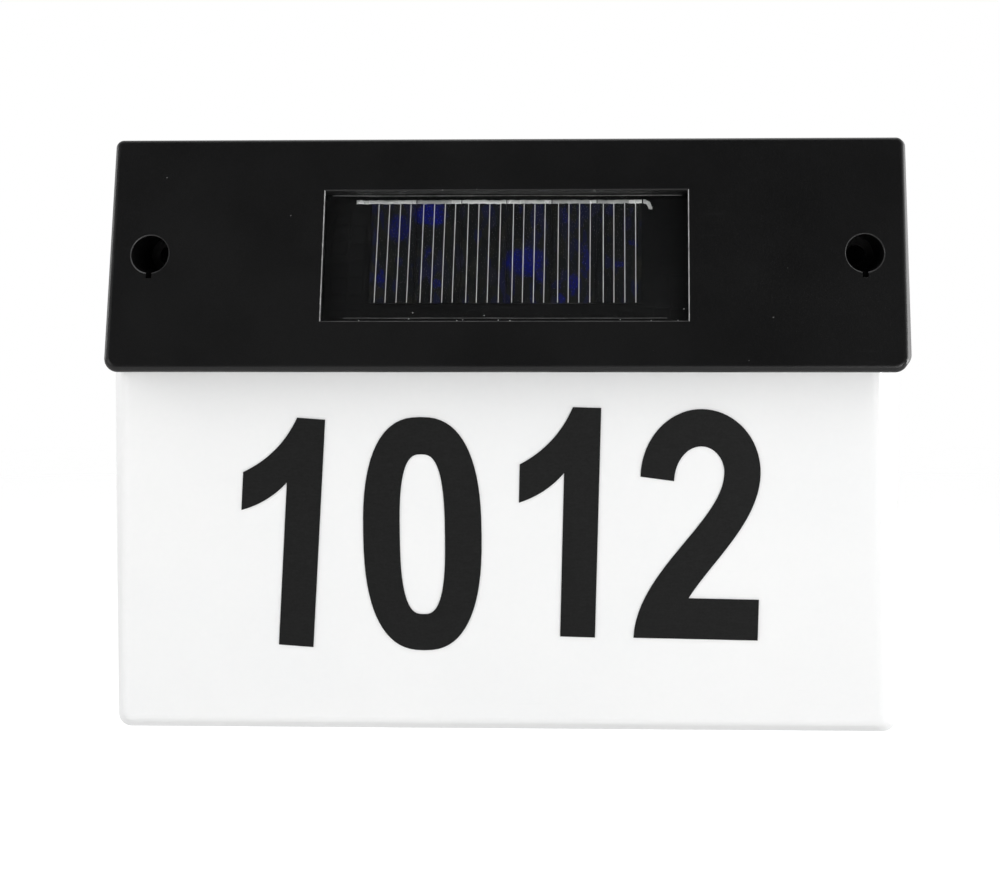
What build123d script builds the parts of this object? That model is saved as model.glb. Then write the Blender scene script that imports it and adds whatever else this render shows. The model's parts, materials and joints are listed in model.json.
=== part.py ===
from build123d import *
import os
from math import atan2, cos, degrees, radians, sin, tan

os.makedirs("parts", exist_ok=True)

# Illuminated house number sign: a black wedge housing with a solar window stands above a translucent
# light box that carries the numerals. All sizes are in millimetres.
#
# Frame: X to the right, Z up, Y into the wall. The wall is the plane Y = 0 and the front faces -Y.
# The origin lies on the wall, midway between the two screw holes. A depth is a distance forward of
# the wall, so a point at depth d has Y = -d.

# ---------------------------------------------------------------- wall fixing
wall_screw_spacing = 161.3
wall_screw_hole_r = 2.25
access_hole_r = 4.25
tunnel_wall = 1.8
tunnel_floor = 2.0
notch_width = 1.3
notch_drop = 1.2
notch_length = 6.0

# ---------------------------------------------------------------- housing
face_top_z = 26.3
face_bottom_z = -26.5
face_depth_top = 19.3
face_depth_bottom = 39.7
face_half_top = 90.0
face_half_bottom = 89.5
side_draft = 7.25
top_draft = 2.5
housing_corner_top = 1.8
housing_corner_bottom = 3.0
face_edge_r = 1.3
housing_wall = 2.2
smallest_corner = 0.5
edge_break = 0.25
rib_thickness = 1.4
rib_height = 2.5
rib_length = 40.0
rib_x = 56.0

# ---------------------------------------------------------------- back cover and its gasket
cover_thickness = 2.2
cover_clearance = 0.2
gasket_thickness = 0.8
gasket_clearance = 0.15
ledge_width = 2.0
ledge_depth = 2.0
cover_screw_x = 66.0
cover_screw_upper_z = 18.5
cover_screw_lower_z = -12.0
cover_screw_boss_r = 3.0

# ---------------------------------------------------------------- self-tapping screws
# Shanks and the holes for them are octagons, and other round forms up to 3 mm in radius have 16
# sides, which keeps the model light. The radii of small holes are to their flats.
screw_r = 1.0
screw_pilot_clearance = 0.05
screw_hole_clearance = 0.3
screw_head_r = 2.2
screw_head_height = 1.2
screw_length = 7.0
pilot_spare = 1.0
small_sides = 8
round_sides = 16
counterbore_depth = 1.4
counterbore_clearance = 0.3
recess_length = 2.8
recess_width = 0.7
recess_depth = 0.7
clamp_head_r = 3.2
clamp_head_height = 1.0
clamp_screw_length = 3.4
clamp_pilot_spare = 0.4

# ---------------------------------------------------------------- solar window and cells
window_width = 82.4
window_height = 31.6
window_up = -0.3
panel_margin = 3.0
pad_thickness = 0.4
pad_margin = 1.0
window_thickness = 2.4
pocket_depth = 0.9
pocket_margin = 2.0
board_thickness = 1.6
panel_clearance = 0.25
rim_thickness = 1.2
clamp_up = 10.0
clamp_boss_side = 4.4
clamp_boss_offset = 0.6
cell_count = 6
cell_pitch = 10.3
cell_gap = 0.15
cell_height = 24.7
cell_thickness = 0.35
cell_up = 2.0
ribbon_width = 1.1
ribbon_thickness = 0.2
ribbon_gap = 0.2
ribbon_lead_out = 3.6
ribbon_curl_r = 1.6
ribbon_curl_angle = 100

# ---------------------------------------------------------------- light box
box_shift = -1.7
box_half_width = 93.0
box_bottom_z = -112.8
box_draft = 14.5
box_depth_top = 25.6
box_depth_bottom = 12.3
box_corner_r = 3.2
box_edge_r = 2.5
box_wall = 1.8
back_plate_thickness = 1.8
back_plate_clearance = 0.2
back_ledge_width = 1.5
back_ledge_depth = 1.5
collar_side_gap = 15.0
collar_rear_depth = 5.5
collar_front_depth = 22.5
collar_top_z = -19.0
collar_clearance = 0.3
led_boss_side = 5.2
led_boss_height = 8.0
led_boss_overlap = 0.8
box_screw_inset = 9.5
box_screw_depth = 12.0
box_screw_boss_r = 2.8
box_screw_boss_height = 7.0

# ---------------------------------------------------------------- LED board
led_board_clearance = 0.4
led_count = 4
led_pitch = 36.0
led_r = 2.5
led_flange_r = 2.9
led_flange_height = 1.0
led_body_height = 5.8
led_pin_side = 0.5
led_pin_spacing = 2.54
led_pin_stub = 0.8
pin_hole_clearance = 0.15

# ---------------------------------------------------------------- battery and its bay
battery_r = 7.25
battery_length = 49.2
battery_nub_r = 2.75
battery_nub_length = 1.3
battery_edge_break = 0.8
battery_clearance = 0.4
bay_clamp_clearance = 0.6
bay_z = -3.5
bay_wall = 1.4
bay_side_clearance = 0.5
saddle_floor = 0.8
saddle_thickness = 2.0
saddle_x = 15.0
saddle_clearance = 0.15
door_thickness = 1.4
door_margin = 2.5
door_clearance = 0.25
door_lug_length = 8.0
door_lug_thickness = 1.2
door_lug_height = 2.6
door_lug_x = 16.0
door_groove_count = 5
door_groove_pitch = 1.8
door_groove_width = 0.8
door_groove_length = 12.0
door_groove_depth = 0.4
door_groove_z = 5.0
finger_notch_r = 5.0
contact_thickness = 0.4
contact_width = 6.0
contact_reach = 8.0
contact_spring_gap = 4.0
contact_tab_length = 3.0
contact_tab_depth = 12.0
contact_slit_clearance = 0.2

# ---------------------------------------------------------------- control board and switch
control_x = 42.0
control_z = 3.0
control_width = 36.0
control_height = 24.0
control_depth = 8.0
post_r = 2.5
post_x = 15.0
post_z = 8.0
switch_x = 42.0
switch_z = 0.0
switch_length = 8.6
switch_width = 3.8
switch_height = 3.4
slider_length = 2.0
slider_width = 2.0
slider_travel = 2.0
slider_clearance = 0.2
slider_floor_clearance = 0.1
slider_pocket_depth = 1.5
slider_recess = 0.6
slot_clearance = 0.4
dish_length = 11.0
dish_width = 7.0
dish_depth = 1.0
dish_corner_r = 1.5
chip_length = 4.0
chip_width = 3.2
chip_height = 1.5
chip_leg_length = 0.9
chip_leg_width = 0.4
chip_leg_thickness = 0.25
chip_leg_pitch = 1.27
chip_dx = -6.0
chip_dz = -6.0
choke_r = 3.0
choke_waist_r = 2.2
choke_height = 5.0
choke_flange = 1.0
choke_dx = 9.0
choke_dz = -1.5

# ---------------------------------------------------------------- leads
lead_r = 0.6
lead_bend_r = 1.5
lead_sides = 6
lead_stand_off = 3.4
minus_pad = (28.0, 11.5)
plus_pad = (32.0, 8.5)
solar_plus_pad_x = 36.0
solar_minus_pad_x = 40.0
solar_plus_x = 30.0
solar_tap_up = 8.0
led_pad_z = -6.5
led_plus_x = 46.0
led_minus_x = 50.0

# ---------------------------------------------------------------- numerals, cut from vinyl film
film_thickness = 0.25
quarter_angle = 90
numeral_height = 54.3
stem_width = 8.1
one_top_width = 6.45
one_tip_reach = 18.3
one_tip_upper = 40.6
one_tip_lower = 31.6
one_inner_z = 38.9
one_upper_sag = 1.6
one_lower_sag = 0.9
zero_width = 27.4
zero_height = 55.4
zero_inner_width = 10.8
zero_inner_height = 38.1
zero_tip_r = 10.6
zero_inner_tip_r = 4.0
two_width = 28.7
two_bar_height = 9.7
two_stroke = 8.0
two_top_stroke = 8.5
two_crown_x = 14.7
two_shoulder_drop = 14.1
two_hook_drop = 15.9
two_hook_rise = 0.9
two_notch_x = 12.6
two_neck_z = 28.1
two_outer_pull = (17.8, 18.9)
two_inner_pull = (0.5, 16.0)
one_left_spot = (-43.8, -21.9, -4.2)
zero_spot = (-17.9, 5.2, 0.0)
one_right_spot = (21.9, -19.2, -1.55)
two_spot = (30.8, -19.2, -1.0)

# ---------------------------------------------------------------- worked out from the sizes above
loft_depth = face_depth_bottom + 5.0
side_slope = tan(radians(side_draft))
top_slope = tan(radians(top_draft))
rear_half_top = face_half_top + face_depth_top * side_slope
rear_half_bottom = face_half_bottom + face_depth_bottom * side_slope
rear_top_z = face_top_z + face_depth_top * top_slope
side_lean = (rear_half_bottom - rear_half_top) / (rear_top_z - face_bottom_z)
face_slope = (face_depth_bottom - face_depth_top) / (face_top_z - face_bottom_z)
face_lean = atan2(face_slope, 1)
face_depth_level = face_depth_bottom + face_slope * face_bottom_z
face_plane = Plane(
    origin=(0, -face_depth_level, 0),
    x_dir=(1, 0, 0),
    z_dir=(0, -cos(face_lean), sin(face_lean)),
)

box_slope = tan(radians(box_draft))
box_height = face_bottom_z - box_bottom_z
box_mid_z = (face_bottom_z + box_bottom_z) / 2
box_lean = atan2(box_depth_top - box_depth_bottom, box_height)
box_mid_depth = (box_depth_top + box_depth_bottom) / 2
box_plane = Plane(
    origin=(box_shift, -box_mid_depth, box_mid_z),
    x_dir=(1, 0, 0),
    z_dir=(0, -cos(box_lean), -sin(box_lean)),
)

pilot_r = screw_r + screw_pilot_clearance
screw_hole_r = screw_r + screw_hole_clearance
wall_screw_points = [(-wall_screw_spacing / 2, 0), (wall_screw_spacing / 2, 0)]
tunnel_r = access_hole_r + tunnel_wall
cover_screw_points = [
    (side * cover_screw_x, z) for side in (-1, 1) for z in (cover_screw_upper_z, cover_screw_lower_z)
]

window_depth = housing_wall + pad_thickness
solar_board_depth = window_depth + window_thickness
panel_width = window_width + 2 * panel_margin
panel_height = window_height + 2 * panel_margin
clamp_x = panel_width / 2 + panel_clearance + rim_thickness + clamp_boss_offset
clamp_points = [
    (side * clamp_x, window_up + rise) for side in (-1, 1) for rise in (-clamp_up, clamp_up)
]

collar_half_width = box_half_width - collar_side_gap
collar_depth = (collar_front_depth + collar_rear_depth) / 2
collar_thickness = collar_front_depth - collar_rear_depth
led_screw_x = collar_half_width - box_wall - led_boss_side / 2 + led_boss_overlap
led_screw_points = [(box_shift + side * led_screw_x, -collar_depth) for side in (-1, 1)]
led_points = [
    (box_shift + (i - (led_count - 1) / 2) * led_pitch, -collar_depth) for i in range(led_count)
]
led_board_top_z = collar_top_z + board_thickness
box_screw_x = box_half_width - box_screw_inset
box_screw_points = [(box_shift + side * box_screw_x, -box_screw_depth) for side in (-1, 1)]

battery_depth = door_thickness + battery_clearance + battery_r
bay_depth = battery_depth + battery_r + saddle_floor
bay_height = 2 * (battery_r + bay_side_clearance)
battery_full_length = battery_length + battery_nub_length
bay_length = battery_full_length + 2 * contact_thickness + contact_spring_gap
bay_left = -clamp_x + clamp_head_r + bay_clamp_clearance + bay_wall
bay_right = bay_left + bay_length
bay_x = (bay_left + bay_right) / 2
door_length = bay_length + 2 * door_margin
door_height = bay_height + 2 * door_margin
battery_left = bay_left + contact_thickness + contact_spring_gap

control_front_depth = control_depth + board_thickness
post_points = [(control_x - post_x, control_z - post_z), (control_x + post_x, control_z + post_z)]
switch_depth = control_depth - switch_height
slider_pocket_length = slider_length + slider_travel + 2 * slider_clearance


# ---------------------------------------------------------------- shared forms
def face_along(part, plane):
    """The face of a part that looks the way a plane does."""
    return part.faces().sort_by(lambda face: face.normal_at().dot(plane.z_dir))[-1]


def housing_outline(depth, inset):
    """Rounded trapezoid of the housing at one depth, set in from the outer skin."""
    half_top = rear_half_top - depth * side_slope - inset
    half_bottom = rear_half_bottom - depth * side_slope - inset
    top = rear_top_z - depth * top_slope - inset
    bottom = face_bottom_z + inset
    with BuildSketch() as outline:
        with BuildLine():
            Polyline(
                (-half_bottom, bottom),
                (half_bottom, bottom),
                (half_top, top),
                (-half_top, top),
                close=True,
            )
        make_face()
        fillet(outline.vertices().group_by(Axis.Y)[0], max(housing_corner_bottom - inset, smallest_corner))
        fillet(outline.vertices().group_by(Axis.Y)[-1], max(housing_corner_top - inset, smallest_corner))
    return outline.sketch


def corner_edges(block):
    """The edges of a wedge that run forward from the wall, lowest first."""
    return block.edges().filter_by(lambda edge: abs(edge.tangent_at(0.5).Y) > 0.9).sort_by(Axis.Z)


def housing_block(inset):
    """Drafted wedge inside the outer skin by one inset, open to the wall plane."""
    with BuildPart() as block:
        with BuildSketch(Plane.XZ):
            with Locations((0, face_bottom_z + inset)):
                Rectangle(
                    2 * rear_half_bottom,
                    rear_top_z - face_bottom_z - 2 * inset,
                    align=(Align.CENTER, Align.MIN),
                )
        extrude(amount=loft_depth)
        for side in (-1, 1):
            side_origin = (side * (rear_half_bottom - inset), 0, face_bottom_z)
            split(bisect_by=Plane(side_origin, z_dir=(side, -side_slope, side_lean)), keep=Keep.BOTTOM)
        top_origin = (0, 0, rear_top_z - inset)
        split(bisect_by=Plane(top_origin, z_dir=(0, -top_slope, 1)), keep=Keep.BOTTOM)
        split(bisect_by=face_plane.offset(-inset), keep=Keep.BOTTOM)
        fillet(corner_edges(block)[:2], max(housing_corner_bottom - inset, smallest_corner))
        fillet(corner_edges(block)[-2:], max(housing_corner_top - inset, smallest_corner))
    return block.part


def posts_to_face(points, section, start_depth):
    """Posts of one section that run forward from one depth and merge into the sloping front wall."""
    with BuildPart() as posts:
        with BuildSketch(Plane.XZ.offset(start_depth)):
            with Locations(*points):
                add(section)
        extrude(amount=loft_depth - start_depth)
        split(bisect_by=face_plane.offset(-housing_wall / 2), keep=Keep.BOTTOM)
    return posts.part


def box_outline(depth, inset, top_inset):
    """Light box section at one depth: square top corners and rounded lower corners."""
    half = box_half_width - depth * box_slope - inset
    bottom = box_bottom_z + depth * box_slope + inset
    top = face_bottom_z - top_inset
    with BuildSketch() as outline:
        with BuildLine():
            Polyline(
                (box_shift - half, top),
                (box_shift - half, bottom),
                (box_shift + half, bottom),
                (box_shift + half, top),
                close=True,
            )
        make_face()
        fillet(outline.vertices().group_by(Axis.Y)[0], max(box_corner_r - inset, smallest_corner))
    return outline.sketch


def box_block(inset, top_inset):
    """Drafted wedge of the light box, set in from its outer skin."""
    with BuildPart() as block:
        with BuildSketch(Plane.XZ):
            with Locations((box_shift, box_bottom_z + inset)):
                Rectangle(
                    2 * box_half_width, box_height - inset - top_inset, align=(Align.CENTER, Align.MIN)
                )
        extrude(amount=box_depth_top)
        for side in (-1, 1):
            side_origin = (box_shift + side * (box_half_width - inset), 0, 0)
            split(bisect_by=Plane(side_origin, z_dir=(side, -box_slope, 0)), keep=Keep.BOTTOM)
        split(bisect_by=Plane((0, 0, box_bottom_z + inset), z_dir=(0, -box_slope, -1)), keep=Keep.BOTTOM)
        split(bisect_by=box_plane.offset(-inset), keep=Keep.BOTTOM)
        fillet(corner_edges(block)[:2], max(box_corner_r - inset, smallest_corner))
    return block.part


# ---------------------------------------------------------------- front housing
# One drafted moulding: sloping face, screw tunnels, window frame, posts for the back cover.
outer_skin = housing_block(0)
inner_skin = housing_block(housing_wall)
tunnels = posts_to_face(wall_screw_points, Circle(tunnel_r), cover_thickness)
cover_post = RegularPolygon(cover_screw_boss_r, round_sides)
cover_posts = posts_to_face(cover_screw_points, cover_post, cover_thickness)
ledge_start = cover_thickness + gasket_thickness

with BuildPart() as front_housing:
    add(outer_skin)
    fillet(face_along(front_housing, face_plane).edges(), face_edge_r)
    add(inner_skin, mode=Mode.SUBTRACT)
    # window opening: sharp corners, and an outer edge that is just broken
    with BuildSketch(face_plane):
        with Locations((0, window_up)):
            Rectangle(window_width, window_height)
    extrude(amount=-(housing_wall + pad_thickness / 2), mode=Mode.SUBTRACT)
    chamfer(face_along(front_housing, face_plane).inner_wires()[0].edges(), edge_break)
    # ledge that the gasket of the back cover presses on
    with BuildSketch(Plane.XZ.offset(ledge_start)):
        add(housing_outline(ledge_start, housing_wall / 2))
        add(housing_outline(ledge_start, housing_wall + ledge_width), mode=Mode.SUBTRACT)
    extrude(amount=ledge_depth)
    add(tunnels)
    add(cover_posts)
    # stiffening ribs beside the window
    with BuildSketch(face_plane.offset(-housing_wall / 2)):
        with Locations((-rib_x, 0), (rib_x, 0)):
            Rectangle(rib_thickness, rib_length)
    extrude(amount=-housing_wall / 2 - rib_height)
    # rim and clamp bosses around the solar panel
    with BuildSketch(face_plane.offset(-housing_wall / 2)):
        with Locations((0, window_up)):
            Rectangle(
                panel_width + 2 * (panel_clearance + rim_thickness),
                panel_height + 2 * (panel_clearance + rim_thickness),
            )
            Rectangle(
                panel_width + 2 * panel_clearance,
                panel_height + 2 * panel_clearance,
                mode=Mode.SUBTRACT,
            )
    extrude(amount=-(window_depth + window_thickness - housing_wall / 2))
    with BuildSketch(face_plane.offset(-housing_wall / 2)):
        with Locations(*clamp_points):
            Rectangle(clamp_boss_side, clamp_boss_side)
        with Locations((0, window_up)):
            Rectangle(
                panel_width + 2 * panel_clearance,
                panel_height + 2 * panel_clearance,
                mode=Mode.SUBTRACT,
            )
    extrude(amount=-(solar_board_depth + board_thickness - housing_wall / 2))
    with BuildSketch(face_plane.offset(-(solar_board_depth + board_thickness))):
        with Locations(*clamp_points):
            RegularPolygon(pilot_r, small_sides, major_radius=False)
    extrude(amount=clamp_screw_length + clamp_pilot_spare, mode=Mode.SUBTRACT)
    # screw tunnels: wide access bore, clearance hole in the floor and a drain notch below
    with BuildSketch(Plane.XZ.offset(cover_thickness + tunnel_floor)):
        with Locations(*wall_screw_points):
            Circle(access_hole_r)
    extrude(amount=loft_depth, mode=Mode.SUBTRACT)
    face_holes = face_along(front_housing, face_plane).inner_wires()
    chamfer([hole.edges()[0] for hole in face_holes if len(hole.edges()) == 1], edge_break)
    with BuildSketch(Plane.XZ.offset(cover_thickness)):
        with Locations(*wall_screw_points):
            Circle(wall_screw_hole_r)
    extrude(amount=tunnel_floor, mode=Mode.SUBTRACT)
    with BuildSketch(Plane.XZ.offset(face_depth_level - notch_length)):
        with Locations(*[(x, z - access_hole_r) for x, z in wall_screw_points]):
            Rectangle(notch_width, 2 * notch_drop)
    extrude(amount=loft_depth, mode=Mode.SUBTRACT)
    with BuildSketch(Plane.XZ.offset(cover_thickness)):
        with Locations(*cover_screw_points):
            RegularPolygon(pilot_r, small_sides, major_radius=False)
    extrude(amount=screw_length + pilot_spare, mode=Mode.SUBTRACT)
    # opening in the underside for the collar of the light box, and two screw holes beside it
    with BuildSketch(Plane.XY.offset(face_bottom_z)):
        with Locations((box_shift, -collar_depth)):
            Rectangle(2 * (collar_half_width + collar_clearance), collar_thickness + 2 * collar_clearance)
        with Locations(*box_screw_points):
            RegularPolygon(screw_hole_r, small_sides, major_radius=False)
    extrude(amount=housing_wall, mode=Mode.SUBTRACT)

front_housing.part.label = "front_housing"
export_step(front_housing.part, "parts/front_housing.step")

# ---------------------------------------------------------------- back cover
# Flat plate flush with the wall plane, with the battery bay moulded into it.
cover_outline = housing_outline(cover_thickness, housing_wall + cover_clearance)

with BuildPart() as back_cover:
    with BuildSketch(Plane.XZ):
        add(cover_outline)
    extrude(amount=cover_thickness)
    with BuildSketch(Plane.XZ):
        with Locations((bay_x, bay_z)):
            Rectangle(bay_length + 2 * bay_wall, bay_height + 2 * bay_wall)
    extrude(amount=bay_depth + bay_wall)
    with BuildSketch(Plane.XZ):
        with Locations((bay_x, bay_z)):
            Rectangle(bay_length, bay_height)
    extrude(amount=bay_depth, mode=Mode.SUBTRACT)
    # saddles that carry the cell
    for side in (-1, 1):
        with BuildSketch(Plane.YZ.offset(bay_x + side * saddle_x)):
            with Locations((-(battery_depth + bay_depth) / 2, bay_z)):
                Rectangle(bay_depth - battery_depth, bay_height)
            with Locations((-battery_depth, bay_z)):
                Circle(battery_r + saddle_clearance, mode=Mode.SUBTRACT)
        extrude(amount=saddle_thickness / 2, both=True)
    # rebate for the door, with a finger notch above it
    with BuildSketch(Plane.XZ):
        with Locations((bay_x, bay_z)):
            Rectangle(door_length + 2 * door_clearance, door_height + 2 * door_clearance)
        with Locations((bay_x, bay_z + door_height / 2 + door_clearance)):
            Circle(finger_notch_r)
    extrude(amount=door_thickness, mode=Mode.SUBTRACT)
    # slits in both end walls for the contact tabs
    with BuildSketch(Plane.XZ.offset(contact_tab_depth - contact_thickness / 2 - contact_slit_clearance)):
        with Locations((bay_x, bay_z)):
            Rectangle(bay_length + 4 * bay_wall, contact_width + 2 * contact_slit_clearance)
            Rectangle(bay_length, contact_width + 2 * contact_slit_clearance, mode=Mode.SUBTRACT)
    extrude(amount=contact_thickness + 2 * contact_slit_clearance, mode=Mode.SUBTRACT)
    # posts for the control board
    with BuildSketch(Plane.XZ):
        with Locations(*post_points):
            RegularPolygon(post_r, round_sides)
    extrude(amount=control_depth)
    with BuildSketch(Plane.XZ.offset(control_depth)):
        with Locations(*post_points):
            RegularPolygon(pilot_r, small_sides, major_radius=False)
    extrude(amount=-(control_depth - cover_thickness), mode=Mode.SUBTRACT)
    # switch slot in a shallow dish
    with BuildSketch(Plane.XZ):
        with Locations((switch_x, switch_z)):
            RectangleRounded(dish_length, dish_width, dish_corner_r)
    extrude(amount=dish_depth, mode=Mode.SUBTRACT)
    with BuildSketch(Plane.XZ):
        with Locations((switch_x, switch_z)):
            Rectangle(slider_length + slider_travel + 2 * slot_clearance, slider_width + 2 * slot_clearance)
    extrude(amount=cover_thickness, mode=Mode.SUBTRACT)
    # wall screw holes and counterbored cover screw holes
    with BuildSketch(Plane.XZ):
        with Locations(*wall_screw_points):
            Circle(wall_screw_hole_r)
        with Locations(*cover_screw_points):
            RegularPolygon(screw_hole_r, small_sides, major_radius=False)
    extrude(amount=cover_thickness, mode=Mode.SUBTRACT)
    with BuildSketch(Plane.XZ):
        with Locations(*cover_screw_points):
            RegularPolygon(screw_head_r + counterbore_clearance, round_sides, major_radius=False)
    extrude(amount=counterbore_depth, mode=Mode.SUBTRACT)

back_cover.part.label = "back_cover"
export_step(back_cover.part, "parts/back_cover.step")

# ---------------------------------------------------------------- gasket of the back cover
with BuildPart() as cover_gasket:
    with BuildSketch(Plane.XZ.offset(cover_thickness)):
        add(housing_outline(ledge_start, housing_wall + gasket_clearance))
        add(housing_outline(ledge_start, housing_wall + ledge_width), mode=Mode.SUBTRACT)
    extrude(amount=gasket_thickness)

cover_gasket.part.label = "cover_gasket"
export_step(cover_gasket.part, "parts/cover_gasket.step")

# ---------------------------------------------------------------- battery door
with BuildPart() as battery_door:
    with BuildSketch(Plane.XZ):
        with Locations((bay_x, bay_z)):
            Rectangle(door_length, door_height)
    extrude(amount=door_thickness)
    lug_z = bay_height / 2 - door_clearance - door_lug_thickness / 2
    with BuildSketch(Plane.XZ.offset(door_thickness)):
        with Locations(
            (bay_x - door_lug_x, bay_z - lug_z),
            (bay_x + door_lug_x, bay_z - lug_z),
            (bay_x, bay_z + lug_z),
        ):
            Rectangle(door_lug_length, door_lug_thickness)
    extrude(amount=door_lug_height)
    # grip grooves below the finger notch
    with BuildSketch(Plane.XZ):
        with Locations((bay_x, bay_z + door_groove_z)):
            with GridLocations(0, door_groove_pitch, 1, door_groove_count):
                Rectangle(door_groove_length, door_groove_width)
    extrude(amount=door_groove_depth, mode=Mode.SUBTRACT)

battery_door.part.label = "battery_door"
export_step(battery_door.part, "parts/battery_door.step")

# ---------------------------------------------------------------- battery cell, plus end to the right
with BuildPart() as battery_cell:
    with BuildSketch(Plane.YZ.offset(battery_left)):
        with Locations((-battery_depth, bay_z)):
            Circle(battery_r)
    extrude(amount=battery_length)
    chamfer(battery_cell.edges().filter_by(GeomType.CIRCLE), battery_edge_break)
    with BuildSketch(Plane.YZ.offset(battery_left + battery_length)):
        with Locations((-battery_depth, bay_z)):
            RegularPolygon(battery_nub_r, round_sides)
    extrude(amount=battery_nub_length)

battery_cell.part.label = "battery_cell"
export_step(battery_cell.part, "parts/battery_cell.step")

# ---------------------------------------------------------------- battery contacts
# Bent strips: a foot on the end wall, a tab out through the slit and, on the minus side, a sprung leaf.
half_strip = contact_thickness / 2
contact_low = contact_tab_depth
contact_high = contact_tab_depth - contact_reach
tab_reach = bay_wall + contact_tab_length

with BuildPart() as battery_contact_positive:
    with BuildSketch(Plane.XY.offset(bay_z - contact_width / 2)):
        with BuildLine():
            Polyline(
                (bay_right + tab_reach, -contact_low),
                (bay_right - half_strip, -contact_low),
                (bay_right - half_strip, -contact_high),
            )
        trace(line_width=contact_thickness)
    extrude(amount=contact_width)

battery_contact_positive.part.label = "battery_contact_positive"
export_step(battery_contact_positive.part, "parts/battery_contact_positive.step")

with BuildPart() as battery_contact_negative:
    with BuildSketch(Plane.XY.offset(bay_z - contact_width / 2)):
        with BuildLine():
            Polyline(
                (bay_left - tab_reach, -contact_low),
                (bay_left + half_strip, -contact_low),
                (bay_left + half_strip, -contact_high),
                (battery_left - contact_thickness, -battery_depth),
                (battery_left - contact_spring_gap / 2, -contact_low + 2 * contact_thickness),
            )
        trace(line_width=contact_thickness)
    extrude(amount=contact_width)

battery_contact_negative.part.label = "battery_contact_negative"
export_step(battery_contact_negative.part, "parts/battery_contact_negative.step")

# ---------------------------------------------------------------- solar window, pad and board
with BuildPart() as window_gasket:
    with BuildSketch(face_plane.offset(-housing_wall)):
        with Locations((0, window_up)):
            Rectangle(panel_width, panel_height)
            Rectangle(window_width + 2 * pad_margin, window_height + 2 * pad_margin, mode=Mode.SUBTRACT)
    extrude(amount=-pad_thickness)

window_gasket.part.label = "window_gasket"
export_step(window_gasket.part, "parts/window_gasket.step")

with BuildPart() as solar_window:
    with BuildSketch(face_plane.offset(-window_depth)):
        with Locations((0, window_up)):
            Rectangle(panel_width, panel_height)
    extrude(amount=-window_thickness)
    with BuildSketch(face_plane.offset(-solar_board_depth)):
        with Locations((0, window_up)):
            Rectangle(panel_width - 2 * pocket_margin, panel_height - 2 * pocket_margin)
    extrude(amount=pocket_depth, mode=Mode.SUBTRACT)

solar_window.part.label = "solar_window"
export_step(solar_window.part, "parts/solar_window.step")

with BuildPart() as solar_board:
    with BuildSketch(face_plane.offset(-solar_board_depth)):
        with Locations((0, window_up)):
            Rectangle(panel_width, panel_height)
    extrude(amount=-board_thickness)

solar_board.part.label = "solar_board"
export_step(solar_board.part, "parts/solar_board.step")

# ---------------------------------------------------------------- solar cells and their ribbon
board_plane = face_plane.offset(-solar_board_depth)
ribbon_plane = board_plane.offset(cell_thickness)
ribbon_up = cell_up + cell_height / 2

for index in range(cell_count):
    cell_x = (index - (cell_count - 1) / 2) * cell_pitch
    with BuildPart() as solar_cell:
        with BuildSketch(board_plane):
            with Locations((cell_x, cell_up)):
                Rectangle(cell_pitch - cell_gap, cell_height)
        extrude(amount=cell_thickness)
    solar_cell.part.label = f"solar_cell_{index + 1}"
    export_step(solar_cell.part, f"parts/solar_cell_{index + 1}.step")

# The first strip leads out past the first cell, and a short loose end curls up after the last one.
for index in range(cell_count):
    strip_left = (index - cell_count / 2) * cell_pitch + ribbon_gap / 2
    strip_right = strip_left + cell_pitch - ribbon_gap
    if index == 0:
        strip_left -= ribbon_lead_out
    with BuildPart() as cell_ribbon:
        with BuildSketch(ribbon_plane):
            with Locations(((strip_left + strip_right) / 2, ribbon_up)):
                Rectangle(strip_right - strip_left, ribbon_width)
        extrude(amount=ribbon_thickness)
    cell_ribbon.part.label = f"cell_ribbon_{index + 1}"
    export_step(cell_ribbon.part, f"parts/cell_ribbon_{index + 1}.step")

with BuildPart() as cell_ribbon_end:
    with BuildSketch(ribbon_plane):
        with BuildLine():
            JernArc(
                start=(cell_count / 2 * cell_pitch + ribbon_gap, ribbon_up),
                tangent=(1, 0),
                radius=ribbon_curl_r,
                arc_size=-ribbon_curl_angle,
            )
        trace(line_width=ribbon_width)
    extrude(amount=ribbon_thickness)

cell_ribbon_end.part.label = f"cell_ribbon_{cell_count + 1}"
export_step(cell_ribbon_end.part, f"parts/cell_ribbon_{cell_count + 1}.step")

# ---------------------------------------------------------------- light box front
# Drafted tray with a closed top, whose collar reaches up through the underside of the housing.
box_skin = box_block(0, 0)
box_hollow = box_block(box_wall, box_wall)

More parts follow.
